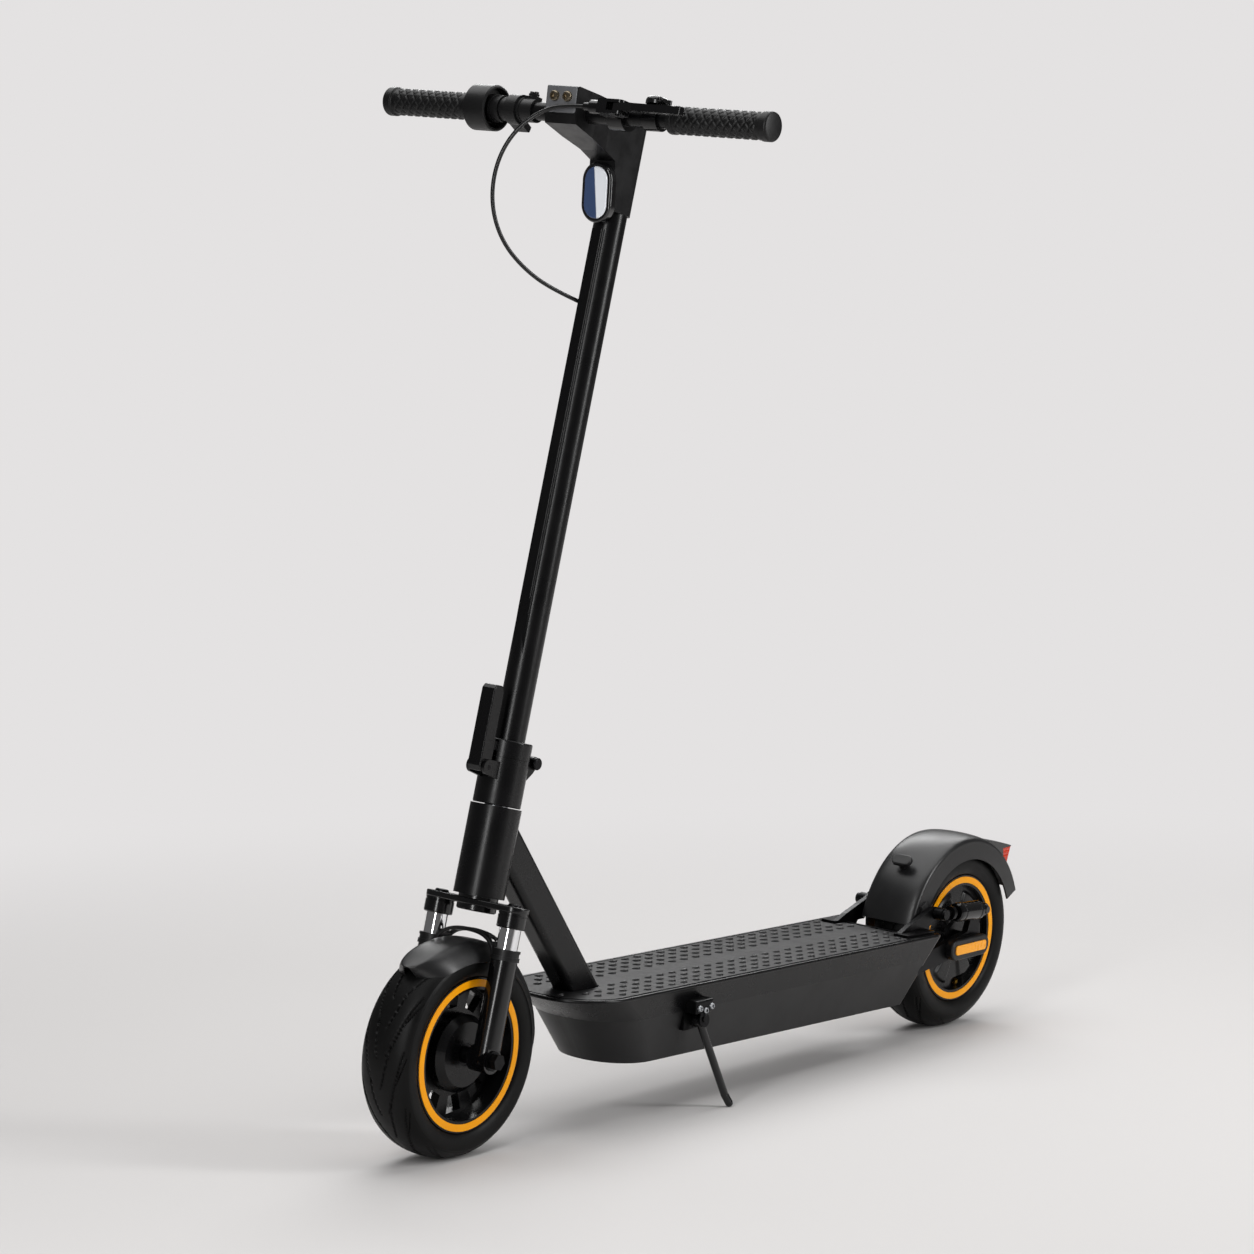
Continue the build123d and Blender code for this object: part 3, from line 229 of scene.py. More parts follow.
def add(tree, kind, settings=None, inputs=None):
    """One node with its settings, and its inputs given as values or as other nodes' outputs."""
    made_node = tree.nodes.new(kind)
    for name, value in (settings or {}).items():
        setattr(made_node, name, value)
    for name, value in (inputs or {}).items():
        if isinstance(value, bpy.types.NodeSocket):
            tree.links.new(value, made_node.inputs[name])
        else:
            made_node.inputs[name].default_value = value
    return made_node


def per_metre(millimetres):
    """A noise scale whose features are that many millimetres across."""
    return 1000.0 / millimetres


def surface(name, light, dark, metallic, roughness, grain_mm, bump_mm, patch_mm=45.0, spread=0.08,
            coat=0.0, stretch=(1, 1, 1), coat_roughness=0.2, gloss=0.5):
    """A finish with patches of two near tones, a fine grain in relief and roughness that varies by spread."""
    material = bpy.data.materials.new(name)
    material.use_nodes = True
    tree = material.node_tree
    shader = tree.nodes["Principled BSDF"]
    place_in = add(tree, "ShaderNodeTexCoord").outputs["Object"]
    if stretch != (1, 1, 1):
        stretched = add(tree, "ShaderNodeMapping", None, {"Vector": place_in, "Scale": stretch})
        place_in = stretched.outputs["Vector"]
    patches = add(tree, "ShaderNodeTexNoise", None, {"Vector": place_in, "Scale": per_metre(patch_mm),
                                                    "Detail": 4.0, "Roughness": 0.6})
    grain = add(tree, "ShaderNodeTexNoise", None, {"Vector": place_in, "Scale": per_metre(grain_mm),
                                                  "Detail": 2.0})
    tone = add(tree, "ShaderNodeMix", {"data_type": "RGBA"}, {"Factor": patches.outputs["Fac"]})
    tone.inputs[6].default_value = linear(dark)
    tone.inputs[7].default_value = linear(light)
    worn = add(tree, "ShaderNodeMapRange", None,
               {"Value": patches.outputs["Fac"], "From Min": 0.3, "From Max": 0.7,
                "To Min": roughness - spread, "To Max": roughness + spread})
    relief = add(tree, "ShaderNodeBump", None, {"Height": grain.outputs["Fac"], "Strength": 1.0,
                                               "Distance": bump_mm / 1000})
    tree.links.new(tone.outputs[2], shader.inputs["Base Color"])
    tree.links.new(worn.outputs["Result"], shader.inputs["Roughness"])
    tree.links.new(relief.outputs["Normal"], shader.inputs["Normal"])
    shader.inputs["Metallic"].default_value = metallic
    shader.inputs["Specular IOR Level"].default_value = gloss
    shader.inputs["Coat Weight"].default_value = coat
    shader.inputs["Coat Roughness"].default_value = coat_roughness
    return material


# Polyester powder coat on aluminium: satin, near black, faint orange peel a millimetre or so across.
POWDER = surface("powder_coat_satin", "#080809", "#050506", 0.0, 0.28, 1.2, 0.008, spread=0.04, gloss=0.28)
# Smoother wet paint on the fork, hardware and stand: tighter highlights.
PAINT = surface("enamel_semi_gloss", "#070708", "#040405", 0.0, 0.2, 2.5, 0.004, spread=0.04, coat=0.3,
                coat_roughness=0.15, gloss=0.35)
# Bead-blasted, dark anodised die casting: a dull dark grey, half metallic, with a fine grain.
CASTING = surface("anodised_casting", "#1c1c1d", "#151516", 0.5, 0.36, 0.8, 0.02, patch_mm=20, spread=0.07)
# Hard chrome on the stanchions: mirror-like, with faint rubbing along its length.
CHROME = surface("hard_chrome", "#f0f0f1", "#e2e3e6", 1.0, 0.08, 3.0, 0.002, patch_mm=12, spread=0.03,
                 stretch=(1, 1, 0.2))
# Zinc-plated steel hardware: bright, slightly uneven grey.
ZINC = surface("zinc_plated_steel", "#b9bbbe", "#8f9296", 1.0, 0.3, 1.0, 0.01, patch_mm=6, spread=0.09)
# Black-oxide steel: dark metal with a dull oil sheen.
OXIDE = surface("black_oxide_steel", "#2a2a2b", "#1a1a1b", 1.0, 0.38, 0.7, 0.015, patch_mm=10, spread=0.08)
# Tyre tread rubber: nearly black, dry, with a slightly dusty bloom in patches.
TYRE_RUBBER = surface("tyre_rubber", "#090909", "#050505", 0.0, 0.46, 0.6, 0.03, patch_mm=35,
                      spread=0.07, gloss=0.16)
# Moulded thermoplastic rubber of the grips and mat: matte, soft edges.
GRIP_RUBBER = surface("grip_rubber", "#0b0b0c", "#070708", 0.0, 0.42, 0.5, 0.02, patch_mm=25,
                      spread=0.06, gloss=0.34)
# Injection-moulded ABS with a spark-eroded texture: matte, even, nearly black.
ABS = surface("abs_spark_texture", "#0b0b0c", "#070708", 0.0, 0.42, 0.45, 0.02, patch_mm=60,
              spread=0.05, gloss=0.4)
# Large thin moulding of the fenders: the same plastic, buffed to a broad soft sheen.
FENDER_ABS = surface("abs_satin_moulding", "#19191a", "#111112", 0.0, 0.34, 0.9, 0.012, patch_mm=70,
                     spread=0.06)
# Polished ABS of the lamp housing: deep black with sharp reflections.
GLOSS_ABS = surface("abs_polished", "#0e0e10", "#080809", 0.0, 0.12, 5.0, 0.002, patch_mm=30,
                    spread=0.03, coat=0.6, coat_roughness=0.05)
# Printed or moulded warm yellow rim band: semi-gloss, very slightly mottled.
YELLOW = surface("rim_band_yellow", "#ffac00", "#fb9f00", 0.0, 0.36, 1.5, 0.006, patch_mm=22,
                 spread=0.06, gloss=0.2)
# Blasted and clear-anodised aluminium of the bar clamp's face: a soft, even mid grey.
CLAMP_GREY = surface("blasted_clear_anodised", "#77787b", "#68696c", 0.4, 0.44, 0.6, 0.012, patch_mm=16,
                     spread=0.06)
# Yellow-passivated steel of the big screws: a dull tan metal.
TAN_STEEL = surface("yellow_passivated_steel", "#9a8f7c", "#7b705e", 1.0, 0.3, 0.8, 0.01, patch_mm=5,
                    spread=0.08)
# Brass valve stem: a warm, slightly dulled gold.
BRASS = surface("brass", "#d2a64a", "#b98a33", 1.0, 0.28, 0.6, 0.01, patch_mm=5, spread=0.08)
# PVC cable housing, smooth with fine draw lines.
HOUSING = surface("pvc_housing", "#0b0b0c", "#070708", 0.0, 0.3, 1.0, 0.001, patch_mm=15, spread=0.05)
# Heat-shrink film over the cells: blue with a soft shine, hidden in the tray.
WRAP = surface("heat_shrink_film", "#27507c", "#1d3f66", 0.0, 0.35, 2.0, 0.02, patch_mm=30, spread=0.08)


def reflector_material():
    """Moulded prismatic acrylic: amber-yellow, with 2.5 mm cube-corner cells seen as a fine lattice."""
    material = surface("prismatic_acrylic", "#ffb000", "#f79a00", 0.0, 0.3, 2.5, 0.02, patch_mm=18, coat=0.3,
                       coat_roughness=0.08, gloss=0.3)
    tree = material.node_tree
    shader = tree.nodes["Principled BSDF"]
    cells = add(tree, "ShaderNodeTexVoronoi", {"feature": "DISTANCE_TO_EDGE"},
                {"Vector": add(tree, "ShaderNodeTexCoord").outputs["Object"], "Scale": per_metre(2.5),
                 "Randomness": 0.1})
    lattice = add(tree, "ShaderNodeBump", None, {"Height": cells.outputs["Distance"], "Distance": 0.0004})
    tree.links.new(lattice.outputs["Normal"], shader.inputs["Normal"])
    return material


def tail_lens_material():
    """Red acrylic lens with moulded ribs and an orange cast in patches.

    The wave texture turns 20 radians in a unit of its scale, so the ribs are 18.9 x 2 pi / 20, about
    6 mm, apart.
    """
    material = surface("red_acrylic", "#e63c00", "#a81400", 0.0, 0.25, 3.0, 0.01, patch_mm=9, coat=0.3,
                       coat_roughness=0.06, gloss=0.3)
    tree = material.node_tree
    shader = tree.nodes["Principled BSDF"]
    ribs = add(tree, "ShaderNodeTexWave", {"bands_direction": "Z"},
               {"Vector": add(tree, "ShaderNodeTexCoord").outputs["Object"], "Scale": per_metre(18.9)})
    relief = add(tree, "ShaderNodeBump", None, {"Height": ribs.outputs["Fac"], "Distance": 0.0005})
    tree.links.new(relief.outputs["Normal"], shader.inputs["Normal"])
    return material


def headlight_material():
    """Clear polycarbonate: one half dark navy, the other a white diffuser, split along a slant."""
    material = surface("lamp_polycarbonate", "#f2f6fa", "#dfe7f0", 0.0, 0.08, 4.0, 0.001, patch_mm=40,
                       coat=1.0, coat_roughness=0.02)
    tree = material.node_tree
    shader = tree.nodes["Principled BSDF"]
    across_way = unit(LEFT + STEER * 0.12)
    middle = float(place(COLUMN, (28.0, 0.0, 1032.0)) @ across_way)
    blend = 0.0006
    side = add(tree, "ShaderNodeVectorMath", {"operation": "DOT_PRODUCT"},
               {0: add(tree, "ShaderNodeTexCoord").outputs["Object"], 1: tuple(across_way)})
    step = add(tree, "ShaderNodeMapRange", None,
               {"Value": side.outputs["Value"], "From Min": middle - blend, "From Max": middle + blend})
    halves = add(tree, "ShaderNodeMix", {"data_type": "RGBA"}, {"Factor": step.outputs["Result"]})
    halves.inputs[6].default_value = linear("#35496f")
    halves.inputs[7].default_value = linear("#f6faff")
    tree.links.new(halves.outputs[2], shader.inputs["Base Color"])
    return material


AMBER = reflector_material()
TAIL_RED = tail_lens_material()
LAMP = headlight_material()

FINISHES = {
    POWDER: ["head_tube", "folding_base", "stem_collar", "stem_tube", "handlebar", "down_tube", "deck_frame",
             "latch_lever", "fork_crown", "front_rim", "rear_motor", "controller", "cable_spine"],
    PAINT: ["fork_legs", "bell_hammer", "brake_perch", "brake_lever", "bell", "kickstand", "shock_bodies"],
    CASTING: ["stem_head"],
    CHROME: ["fork_stanchions"],
    ZINC: ["headset_bearings", "steerer_tube"],
    OXIDE: ["front_axle", "rear_axle", "brake_lever_pin", "front_bearings", "axle_spacers", "hinge_pins",
            "shock_rods", "shock_brackets", "stand_bracket", "swingarm"],
    GRIP_RUBBER: ["grip_left", "grip_right", "deck_mat", "dust_seals"],
    TYRE_RUBBER: ["front_tyre", "rear_tyre"],
    ABS: ["battery_tray", "throttle_drum", "throttle_paddle", "switch_collar", "mode_rocker", "fender_hook",
          "axle_covers", "fork_brace"],
    FENDER_ABS: ["front_fender", "rear_fender"],
    GLOSS_ABS: ["headlight_bezel"],
    YELLOW: ["front_stripes", "rear_stripes"],
    BRASS: ["rear_valve"],
    HOUSING: ["brake_cable"],
    WRAP: ["battery_pack"],
    AMBER: ["reflectors"],
    TAN_STEEL: ["head_bolts"],
    TAIL_RED: ["tail_light"],
    LAMP: ["headlight_lens"],
}
for material, names in FINISHES.items():
    for name in names:
        if not NODES[name].material_slots:
            NODES[name].data.materials.append(material)
        for material_slot in NODES[name].material_slots:
            material_slot.material = material


# tyres --------------------------------------------------------------------------------

def bump_window(value, low, high, soft):
    """One between low and high, falling smoothly to nothing over soft at each end."""
    return eased(np.clip((value - low) / soft, 0, 1)) * eased(np.clip((high - value) / soft, 0, 1))


WALL_TALL = 17.0
BEAD_HALF = 27.0
BEAD_IN = 3.5
CROWN_HALF = TYRE_HALF - 1
TREAD_STEPS = 73
SIPE_SETS = 11
SIPE_DEEP = 2.2
# Each sipe: start as a share of a set, two ends across, lean as a share of a set, and half width.
SIPES = ((0.0, 2.5, 15.0, 0.85, 1.0), (0.45, 8.0, 31.0, 1.15, 1.25), (0.9, 22.0, 34.0, 0.5, 0.8))


def tyre(name, home, rim_r, body, node):
    """A section carried round the axle: a flat bead, bulged walls and a round crown, sunk by curved sipes.

    Each set has a sipe beside the middle, a longer one that sweeps to the shoulder and a short one on the
    shoulder, and the sets on the two halves are half a step apart. Two thin raised lines go round each wall.
    """
    around = 792
    turn = full_turn(around)[:, None]
    crown = np.linspace(-1, 1, TREAD_STEPS)
    wall_low = rim_r + WALL_TALL
    crown_y = CROWN_HALF * np.sin(crown * math.pi / 2)
    crown_r = wall_low + (TYRE_R - wall_low) * np.cos(crown * math.pi / 2) ** 0.9
    wall_turn = np.linspace(0, 1, 11)[1:]
    wall_y = BEAD_HALF + (CROWN_HALF - BEAD_HALF) * np.cos(wall_turn * math.pi / 2) ** 0.7
    wall_r = wall_low - (WALL_TALL - 0.3) * np.sin(wall_turn * math.pi / 2)
    inner_y = np.linspace(23, -23, 5)
    section_y = np.concatenate([crown_y, wall_y, inner_y, -wall_y[::-1]])
    section_r = np.concatenate([crown_r, wall_r, np.full(len(inner_y), rim_r + BEAD_IN), wall_r[::-1]])
    y = section_y[None, :]
    tread = (np.arange(len(section_y)) < TREAD_STEPS)[None, :]
    depth = np.zeros((around, len(section_y)))
    period = 2 * math.pi / SIPE_SETS
    for side in (-1, 1):
        for start, low, high, lean, wide in SIPES:
            reach = np.clip((side * y - low) / (high - low), 0, 1)
            centre = (start + (0.5 if side > 0 else 0.0) - lean * reach ** 1.5) * period
            away = (turn - centre + period / 2) % period - period / 2
            slope = lean * 1.5 * np.maximum(reach, 0.02) ** 0.5 * period * TYRE_R / (high - low)
            distance = np.abs(away) * TYRE_R / np.sqrt(1 + slope ** 2)
            half = wide * np.sin(math.pi * np.clip(reach * 0.9 + 0.07, 0, 1)) ** 0.5
            groove = np.clip(1 - (distance / np.maximum(half, 0.05)) ** 2, 0, 1) ** 0.5
            depth = np.maximum(depth, SIPE_DEEP * groove * bump_window(side * y, low, high, 1.0))
    depth = depth * tread
    far = np.abs(y)
    rib = 0.5 * (bump_window(far, 33.6, 34.8, 0.5) + bump_window(far, 35.2, 35.8, 0.3)) * tread
    radius = np.minimum(section_r[None, :] - depth + rib, TYRE_R)
    points = about_y(y, radius, math.pi / 2 - turn)
    part = closed_surface(points, True, True)
    made(name, in_place(home, part), TYRE_RUBBER, body, 40, (node,))


tyre("front_tread_tyre", COLUMN, FRONT_RIM_R, "front_wheel", "front_tyre")
tyre("rear_tread_tyre", REAR, REAR_RIM_R, "rear_wheel", "rear_tyre")


# grips --------------------------------------------------------------------------------

DIAMOND_ROWS = 8
DIAMOND_PITCH = 11.5
DIAMOND_TALL = 0.9


def grip(name, start, end, node):
    """A sleeve along the bar with a lattice of raised diamonds, a plain collar inboard and a domed end."""
    way = 1 if end > start else -1
    length = abs(end - start) + 4
    along = np.linspace(0, length, 250)[:, None]
    turn = full_turn(144)[None, :]
    first = (turn * DIAMOND_ROWS / (2 * math.pi) + along / DIAMOND_PITCH) % 1.0
    second = (turn * DIAMOND_ROWS / (2 * math.pi) - along / DIAMOND_PITCH) % 1.0
    edge = np.minimum(np.minimum(first, 1 - first), np.minimum(second, 1 - second))
    raised = DIAMOND_TALL * eased(np.clip(edge / 0.3, 0, 1))
    field = bump_window(along, 12, length - 16, 3.0)
    radius = GRIP_R - DIAMOND_TALL + raised * field + 1.2 * bump_window(along, 0, 8.0, 0.8)
    radius = radius + 1.9 * bump_window(along, length - 13, length + 5, 1.5)
    dome = np.clip((along - (length - 3.0)) / 3.0, 0, 1)
    radius = radius - 3.5 * (1 - np.sqrt(1 - dome ** 2 * 0.98))
    points = about_y(start + way * along, radius, turn) + np.array([BAR_X, 0, BAR_Z])
    part = closed_surface(points, False, True, True)
    made(name, in_place(COLUMN, part), GRIP_RUBBER, "stem", 50, (node,))


grip("diamond_grip_left", LEFT_GRIP_Y, BAR_HALF, "grip_left")
grip("diamond_grip_right", -RIGHT_GRIP_Y, -BAR_HALF, "grip_right")


# fenders ------------------------------------------------------------------------------

def shell_along(section, start, end, steps, shape=None):
    """A closed section of (Y, radius) carried round the axle from one angle to another, in degrees.

    shape(Y, radius, angle) bends the section as it goes, so that a fender can narrow or lift at its ends.
    """
    angle = np.linspace(start, end, steps)[:, None]
    y, radius = (np.repeat(section[None, :, way], steps, axis=0) for way in (0, 1))
    if shape:
        y, radius = shape(y, radius, angle)
    return closed_surface(about_y(y, radius, np.radians(angle)), False, True, True)


def skin_section(outer_y, outer_r, wall):
    """A fender's section: the outer line, then the same line a wall further in, back to the start."""
    slope = np.stack([np.gradient(outer_y), np.gradient(outer_r)], axis=1)
    slope = slope / np.linalg.norm(slope, axis=1)[:, None]
    inner_y = outer_y + slope[:, 1] * wall
    inner_r = outer_r - slope[:, 0] * wall
    return np.vstack([np.stack([outer_y, outer_r], axis=1), np.stack([inner_y, inner_r], axis=1)[::-1]])


def soft_corner(value, corner, radius):
    """Nothing before the corner and a straight rise after it, eased over the radius."""
    return (value - corner + np.sqrt((value - corner) ** 2 + radius ** 2)) / 2


FENDER_TOP_R = 135.4
FENDER_TIP_LIFT = 7.0


def front_fender():
    """Flat-topped in the middle, then a crease on each side and a wall that falls ever more steeply."""
    across_way = np.linspace(-38.5, 38.5, 61)
    reach = np.abs(across_way)
    crown = 0.9 * (reach / 20) ** 2
    fall = crown + 0.62 * soft_corner(reach, 19, 1.6) + 0.026 * soft_corner(reach, 22, 3.0) ** 2
    section = skin_section(across_way, FENDER_TOP_R - fall, 2.3)

    def shape(y, radius, angle):
        tip = np.clip((62 - angle) / 22, 0, 1)
        lift = np.clip((82 - angle) / 42, 0, 1)
        tail = np.clip((angle - 160) / 16, 0, 1)
        round_tip = np.sqrt(np.clip(1 - tip ** 2.6, 0, 1))
        y = y * (0.25 + 0.75 * round_tip) * (1 - 0.12 * tail ** 2)
        return y, radius + FENDER_TIP_LIFT * lift ** 2

    shell = shell_along(section, 40, 176, 110, shape)
    made("front_mudguard", in_place(COLUMN, shell), FENDER_ABS, "fork_lowers", 30,
         ("front_fender",))


TOP_SHARE = 0.78
SHOULDER_Y = 41.8
SHOULDER_R = 133.0
HOOD_R = 142.2


def rear_shell():
    """A broad arched top, a rounded shoulder with a crease below it, and a flat skirt on each side."""
    along = np.linspace(-1, 1, 121)
    side = np.abs(along)
    top = side < TOP_SHARE
    bend = np.clip(side / TOP_SHARE, 0, 1) * math.pi / 2
    down = (side - TOP_SHARE) / (1 - TOP_SHARE)
    y = np.where(top, SHOULDER_Y * np.sin(bend) ** 0.92, SHOULDER_Y + 1.6 * down)
    radius = np.where(top, SHOULDER_R + 10.4 * np.cos(bend) ** 0.62, SHOULDER_R - 22.0 * down)
    return shell_along(skin_section(np.sign(along) * y, radius, 2.4), 15, 157, 130)


def rear_hood():
    """The block that closes the tail over the shell, outlined in X and Z and slightly crowned across Y."""
    turn = np.radians(np.linspace(141.5, 114, 12))
    arc = HOOD_R * np.stack([np.cos(turn), np.sin(turn)], axis=1)
    line = [(-58.5, 130.2), (-97, 122.6), (-133.8, 113.6), (-133.4, 112.5), (-112.6, 111.6), (-114.3, 88.4)]
    outline = np.vstack([line, arc])
    half = np.array([33, 29, 24, 24, 24.5, 26] + list(np.linspace(27, 33, len(arc))))
    step = np.linspace(-1, 1, 9)[:, None]
    y = step * half
    crowned = outline[:, 1] - 0.9 * np.abs(step) ** 6
    points = np.stack([np.broadcast_to(outline[:, 0], y.shape), y, crowned], axis=2)
    return closed_surface(points, False, True, True)


def fender_stay(side):
    """A flat lug from the skirt down to the swingarm: an outline in X and Z that shrinks at both faces."""
    outline = np.array([(92, -12), (112, -14), (116, 40), (117, 60), (106, 66), (97, 52)], dtype=float)
    middle = outline.mean(axis=0)
    rows = []
    for y, size in ((41.5, 0.97), (42.0, 1.0), (45.5, 1.0), (46.0, 0.97)):
        edge = middle + (outline - middle) * size
        rows.append(np.column_stack([edge[:, 0], np.full(len(edge), side * y), edge[:, 1]]))
    return closed_surface(np.array(rows), False, True, True)


def rear_fender():
    """The shell, the hood over its tail and a stay on each side, as one moulding."""
    parts = [rear_shell(), rear_hood()] + [fender_stay(side) for side in (-1, 1)]
    made("rear_mudguard", in_place(REAR, joined(parts)), FENDER_ABS, "rear_arm", 30,
         ("rear_fender",))


front_fender()
rear_fender()


# fork brace ---------------------------------------------------------------------------

ARCH_HALF = 46.5
ARCH_FOOT_Z = 101.0
ARCH_RISE = 45.0


def fork_brace():
    """A strap arched over the wheel between the legs: a grid with four slots left open, then thickened."""
    rows = 61
    columns = 13
    way = np.linspace(-math.pi / 2, math.pi / 2, rows)[:, None]
    y = ARCH_HALF * np.sign(np.sin(way)) * np.abs(np.sin(way)) ** 0.75
    z = ARCH_FOOT_Z + ARCH_RISE * np.abs(np.cos(way)) ** 0.6
    x = np.linspace(-12.0, 12.0, columns)[None, :] * (0.8 + 0.2 * np.abs(np.sin(way)))
    points = np.stack([x, np.broadcast_to(y, x.shape), np.broadcast_to(z, x.shape) - 0.012 * x ** 2], axis=2)
    row, column = np.meshgrid(np.arange(rows - 1), np.arange(columns - 1), indexing="ij")
    open_slot = (np.abs(column - 5.5) < 3) & ((row // 3) % 3 != 1) & (row > 13) & (row < 46)
    faces = np.array(grid_faces(rows, columns, False, False))[~open_slot.ravel()].tolist()
    strap = in_place(COLUMN, (points.reshape(-1, 3), faces))
    piece = made("fork_arch", strap, ABS, "fork_lowers", 40, ("fork_brace",))
    wall = piece.modifiers.new("wall", "SOLIDIFY")
    wall.thickness = 0.0042
    wall.offset = 0.0
    edge = piece.modifiers.new("edge", "BEVEL")
    edge.width = 0.0008
    edge.segments = 2


fork_brace()


# rear motor face ----------------------------------------------------------------------

VALVE_TURN = math.radians(256)
PETALS = 6
PETAL_TALL = 3.0
PLATE_WALL = 1.6


def motor_face(side):
    """A plate that fills the rim, its petals raised by a cosine of the angle, with a dent for the valve."""
    radius = np.linspace(19, 72.6, 60)[:, None]
    turn = full_turn(216)[None, :]
    petal = eased(np.clip(np.cos(PETALS * turn) * 1.8 + 0.7 - (radius - 45) / 60, 0, 1))
    inside = bump_window(radius, 27, 66, 5.0)
    height = 26.0 - 2.2 * ((radius - 27) / 45) ** 2 + PETAL_TALL * petal * inside
    height = np.where(radius < 26, 29.2, height)
    away = np.abs((turn - VALVE_TURN + math.pi) % (2 * math.pi) - math.pi)
    dent = np.exp(-(away / 0.13) ** 2) * bump_window(radius, 58, 80, 5.0) * (side > 0)
    height = height - 12.0 * dent
    top = about_y(side * height, radius, turn)
    low = about_y(side * (height - PLATE_WALL), radius, turn)
    points = np.concatenate([top, low[::-1]])
    return closed_surface(points, True, True)


def motor_faces():
    """Both side plates, which turn with the wheel."""
    parts = [motor_face(side) for side in (-1, 1)]
    made("motor_side_plates", in_place(REAR, joined(parts)), POWDER, "rear_wheel", 35)


motor_faces()


# screws -------------------------------------------------------------------------------

def screw(home, centre, z, radius, tall):
    """A low domed head with a round socket sunk in it, standing along z from its centre point."""
    lift = np.linspace(0, 1, 6)
    dome = [(radius * (1 - 0.12 * k ** 2), tall * k) for k in lift]
    rim = [(radius * 0.8, tall * 1.12), (radius * 0.52, tall * 1.18)]
    sunk = [(radius * 0.5, tall * 1.1), (radius * 0.46, tall * 0.45), (radius * 0.1, tall * 0.4)]
    seat = inner(home, centre, z, (0.3, 0.2, 1.0) if abs(z[2]) < 0.9 else (1, 0, 0))
    return in_place(seat, turned([(radius, -0.6)] + dome + rim + sunk, 24))


def screws():
    """Three on the stand's bracket, a cap on each fork leg and two on each axle cover."""
    spots = ((684, 141), (660, 141), (672, 137))
    bracket = [screw(BIKE, (x, 97.2, z), (0, 1, 0), 4.2, 2.4) for x, z in spots]
    made("bracket_screws", joined(bracket), ZINC, "frame", 30)
    crown = [screw(COLUMN, (0, y, 182), (0, 0, 1), 8.5, 2.6) for y in (-56, 56)]
    made("crown_caps", joined(crown), OXIDE, "steering", 30)
    covers = [screw(REAR, (x, side * 57.0, -5), (0, side, 0), 2.4, 0.6)
              for x in (-14, 54) for side in (-1, 1)]
    made("cover_screws", joined(covers), OXIDE, "rear_arm", 30)


screws()


# fork crown and bar clamp -------------------------------------------------------------

def hull_plate(circles, levels, count=120):
    """A plate round circles of (x, y, r): at each angle its edge is on the circle that reaches furthest.

    levels are (height, inset) pairs from the bottom to the top, so that the edges can be rounded.
    """
    turn = full_turn(count)
    way = np.stack([np.cos(turn), np.sin(turn)], axis=1)
    circles = np.array(circles, dtype=float)
    reach = way @ circles[:, :2].T + circles[:, 2]
    furthest = circles[np.argmax(reach, axis=1)]
    rows = []
    for height, inset in levels:
        edge = furthest[:, :2] + way * (furthest[:, 2:] - inset)
        rows.append(np.column_stack([edge, np.full(count, height)]))
    return closed_surface(np.array(rows), False, True, True)


def rounded(low, high, edge):
    """Levels of a plate from low to high whose two edges are quarter rounds."""
    turn = np.linspace(0, math.pi / 2, 5)
    lower = [(low + edge * (1 - math.sin(t)), edge * (1 - math.cos(t))) for t in turn[::-1]]
    upper = [(high - edge * (1 - math.sin(t)), edge * (1 - math.cos(t))) for t in turn]
    return lower + upper


LEG_Y = 56


def fork_crown():
    """A thin plate over two collars, each with a ring cut near its top, and the boss below the head tube."""
    plate = hull_plate([(0, LEG_Y, 18), (0, -LEG_Y, 18), (0, 0, 27)], rounded(174.5, 182, 1.6))
    boss = turned([(22.5, 167.5), (24, 169), (24, 185.6)], 64)
    collars = []
    for y in (-LEG_Y, LEG_Y):
        points, faces = turned([(16.4, 156), (17.5, 157.2), (17.5, 170.8), (16.7, 171.2), (16.7, 172.2),
                                (17.5, 172.6), (17.5, 175.5)], 48)
        collars.append((points + np.array([0, y, 0]), faces))
    made("crown_plate", in_place(COLUMN, joined([plate, boss] + collars)), PAINT, "steering",
         30, ("fork_crown",))


def bar_clamp_face():
    """The clamp's front: a thin round-cornered plate that leans with the face behind it."""
    ahead = (35, 0, -5)
    home = inner(COLUMN, (133.7, 0, 1118.5), ahead, (5, 0, 35))
    corners = [(x, y, 3.0) for x in (-12.5, 12.5) for y in (-19, 19)]
    plate = hull_plate(corners, rounded(-0.6, 1.0, 0.6), 96)
    made("bar_clamp_face", in_place(home, plate), CLAMP_GREY, "stem", 30)
    bolts = [screw(COLUMN, (135.2, side * 9.5, 1122), ahead, 6.4, 3.6) for side in (-1, 1)]
    made("bar_clamp_screws", joined(bolts), TAN_STEEL, "stem", 30, ("head_bolts",))


fork_crown()
bar_clamp_face()


# deck edge ----------------------------------------------------------------------------

DECK_HALF = 82.0
EDGE_ROLL_R = 2.7
EDGE_ROLL_IN = 2.1
EDGE_REAR_X = 129.0


def deck_edge():
    """A round bead along the deck's top edge: down one side, round the two nose corners and back."""
    nose = DECK_NOSE_X - DECK_NOSE_R
    corner_y = DECK_HALF - DECK_NOSE_R
    run = np.linspace(EDGE_REAR_X, nose, 40)
    turn = np.linspace(math.pi / 2, 0, 20)
    arc_r = DECK_NOSE_R - EDGE_ROLL_IN
    left = np.column_stack([run, np.full(len(run), DECK_HALF - EDGE_ROLL_IN)])
    arc = np.column_stack([nose + arc_r * np.cos(turn), corner_y + arc_r * np.sin(turn)])
    half = np.vstack([left[:-1], arc])
    path = np.vstack([half, half[::-1] * (1, -1)])
    way = np.gradient(path, axis=0)
    out = np.column_stack([-way[:, 1], way[:, 0]]) / np.linalg.norm(way, axis=1)[:, None]
    spin = full_turn(16)[None, :, None]
    flat = path[:, None, :] + EDGE_ROLL_R * np.cos(spin) * out[:, None, :]
    height = np.broadcast_to(-1.5 + EDGE_ROLL_R * np.sin(spin), flat.shape[:2] + (1,))
    part = closed_surface(np.concatenate([flat, height], axis=2), False, True, True)
    made("deck_edge_roll", in_place(DECK, part), POWDER, "frame", 40)


deck_edge()


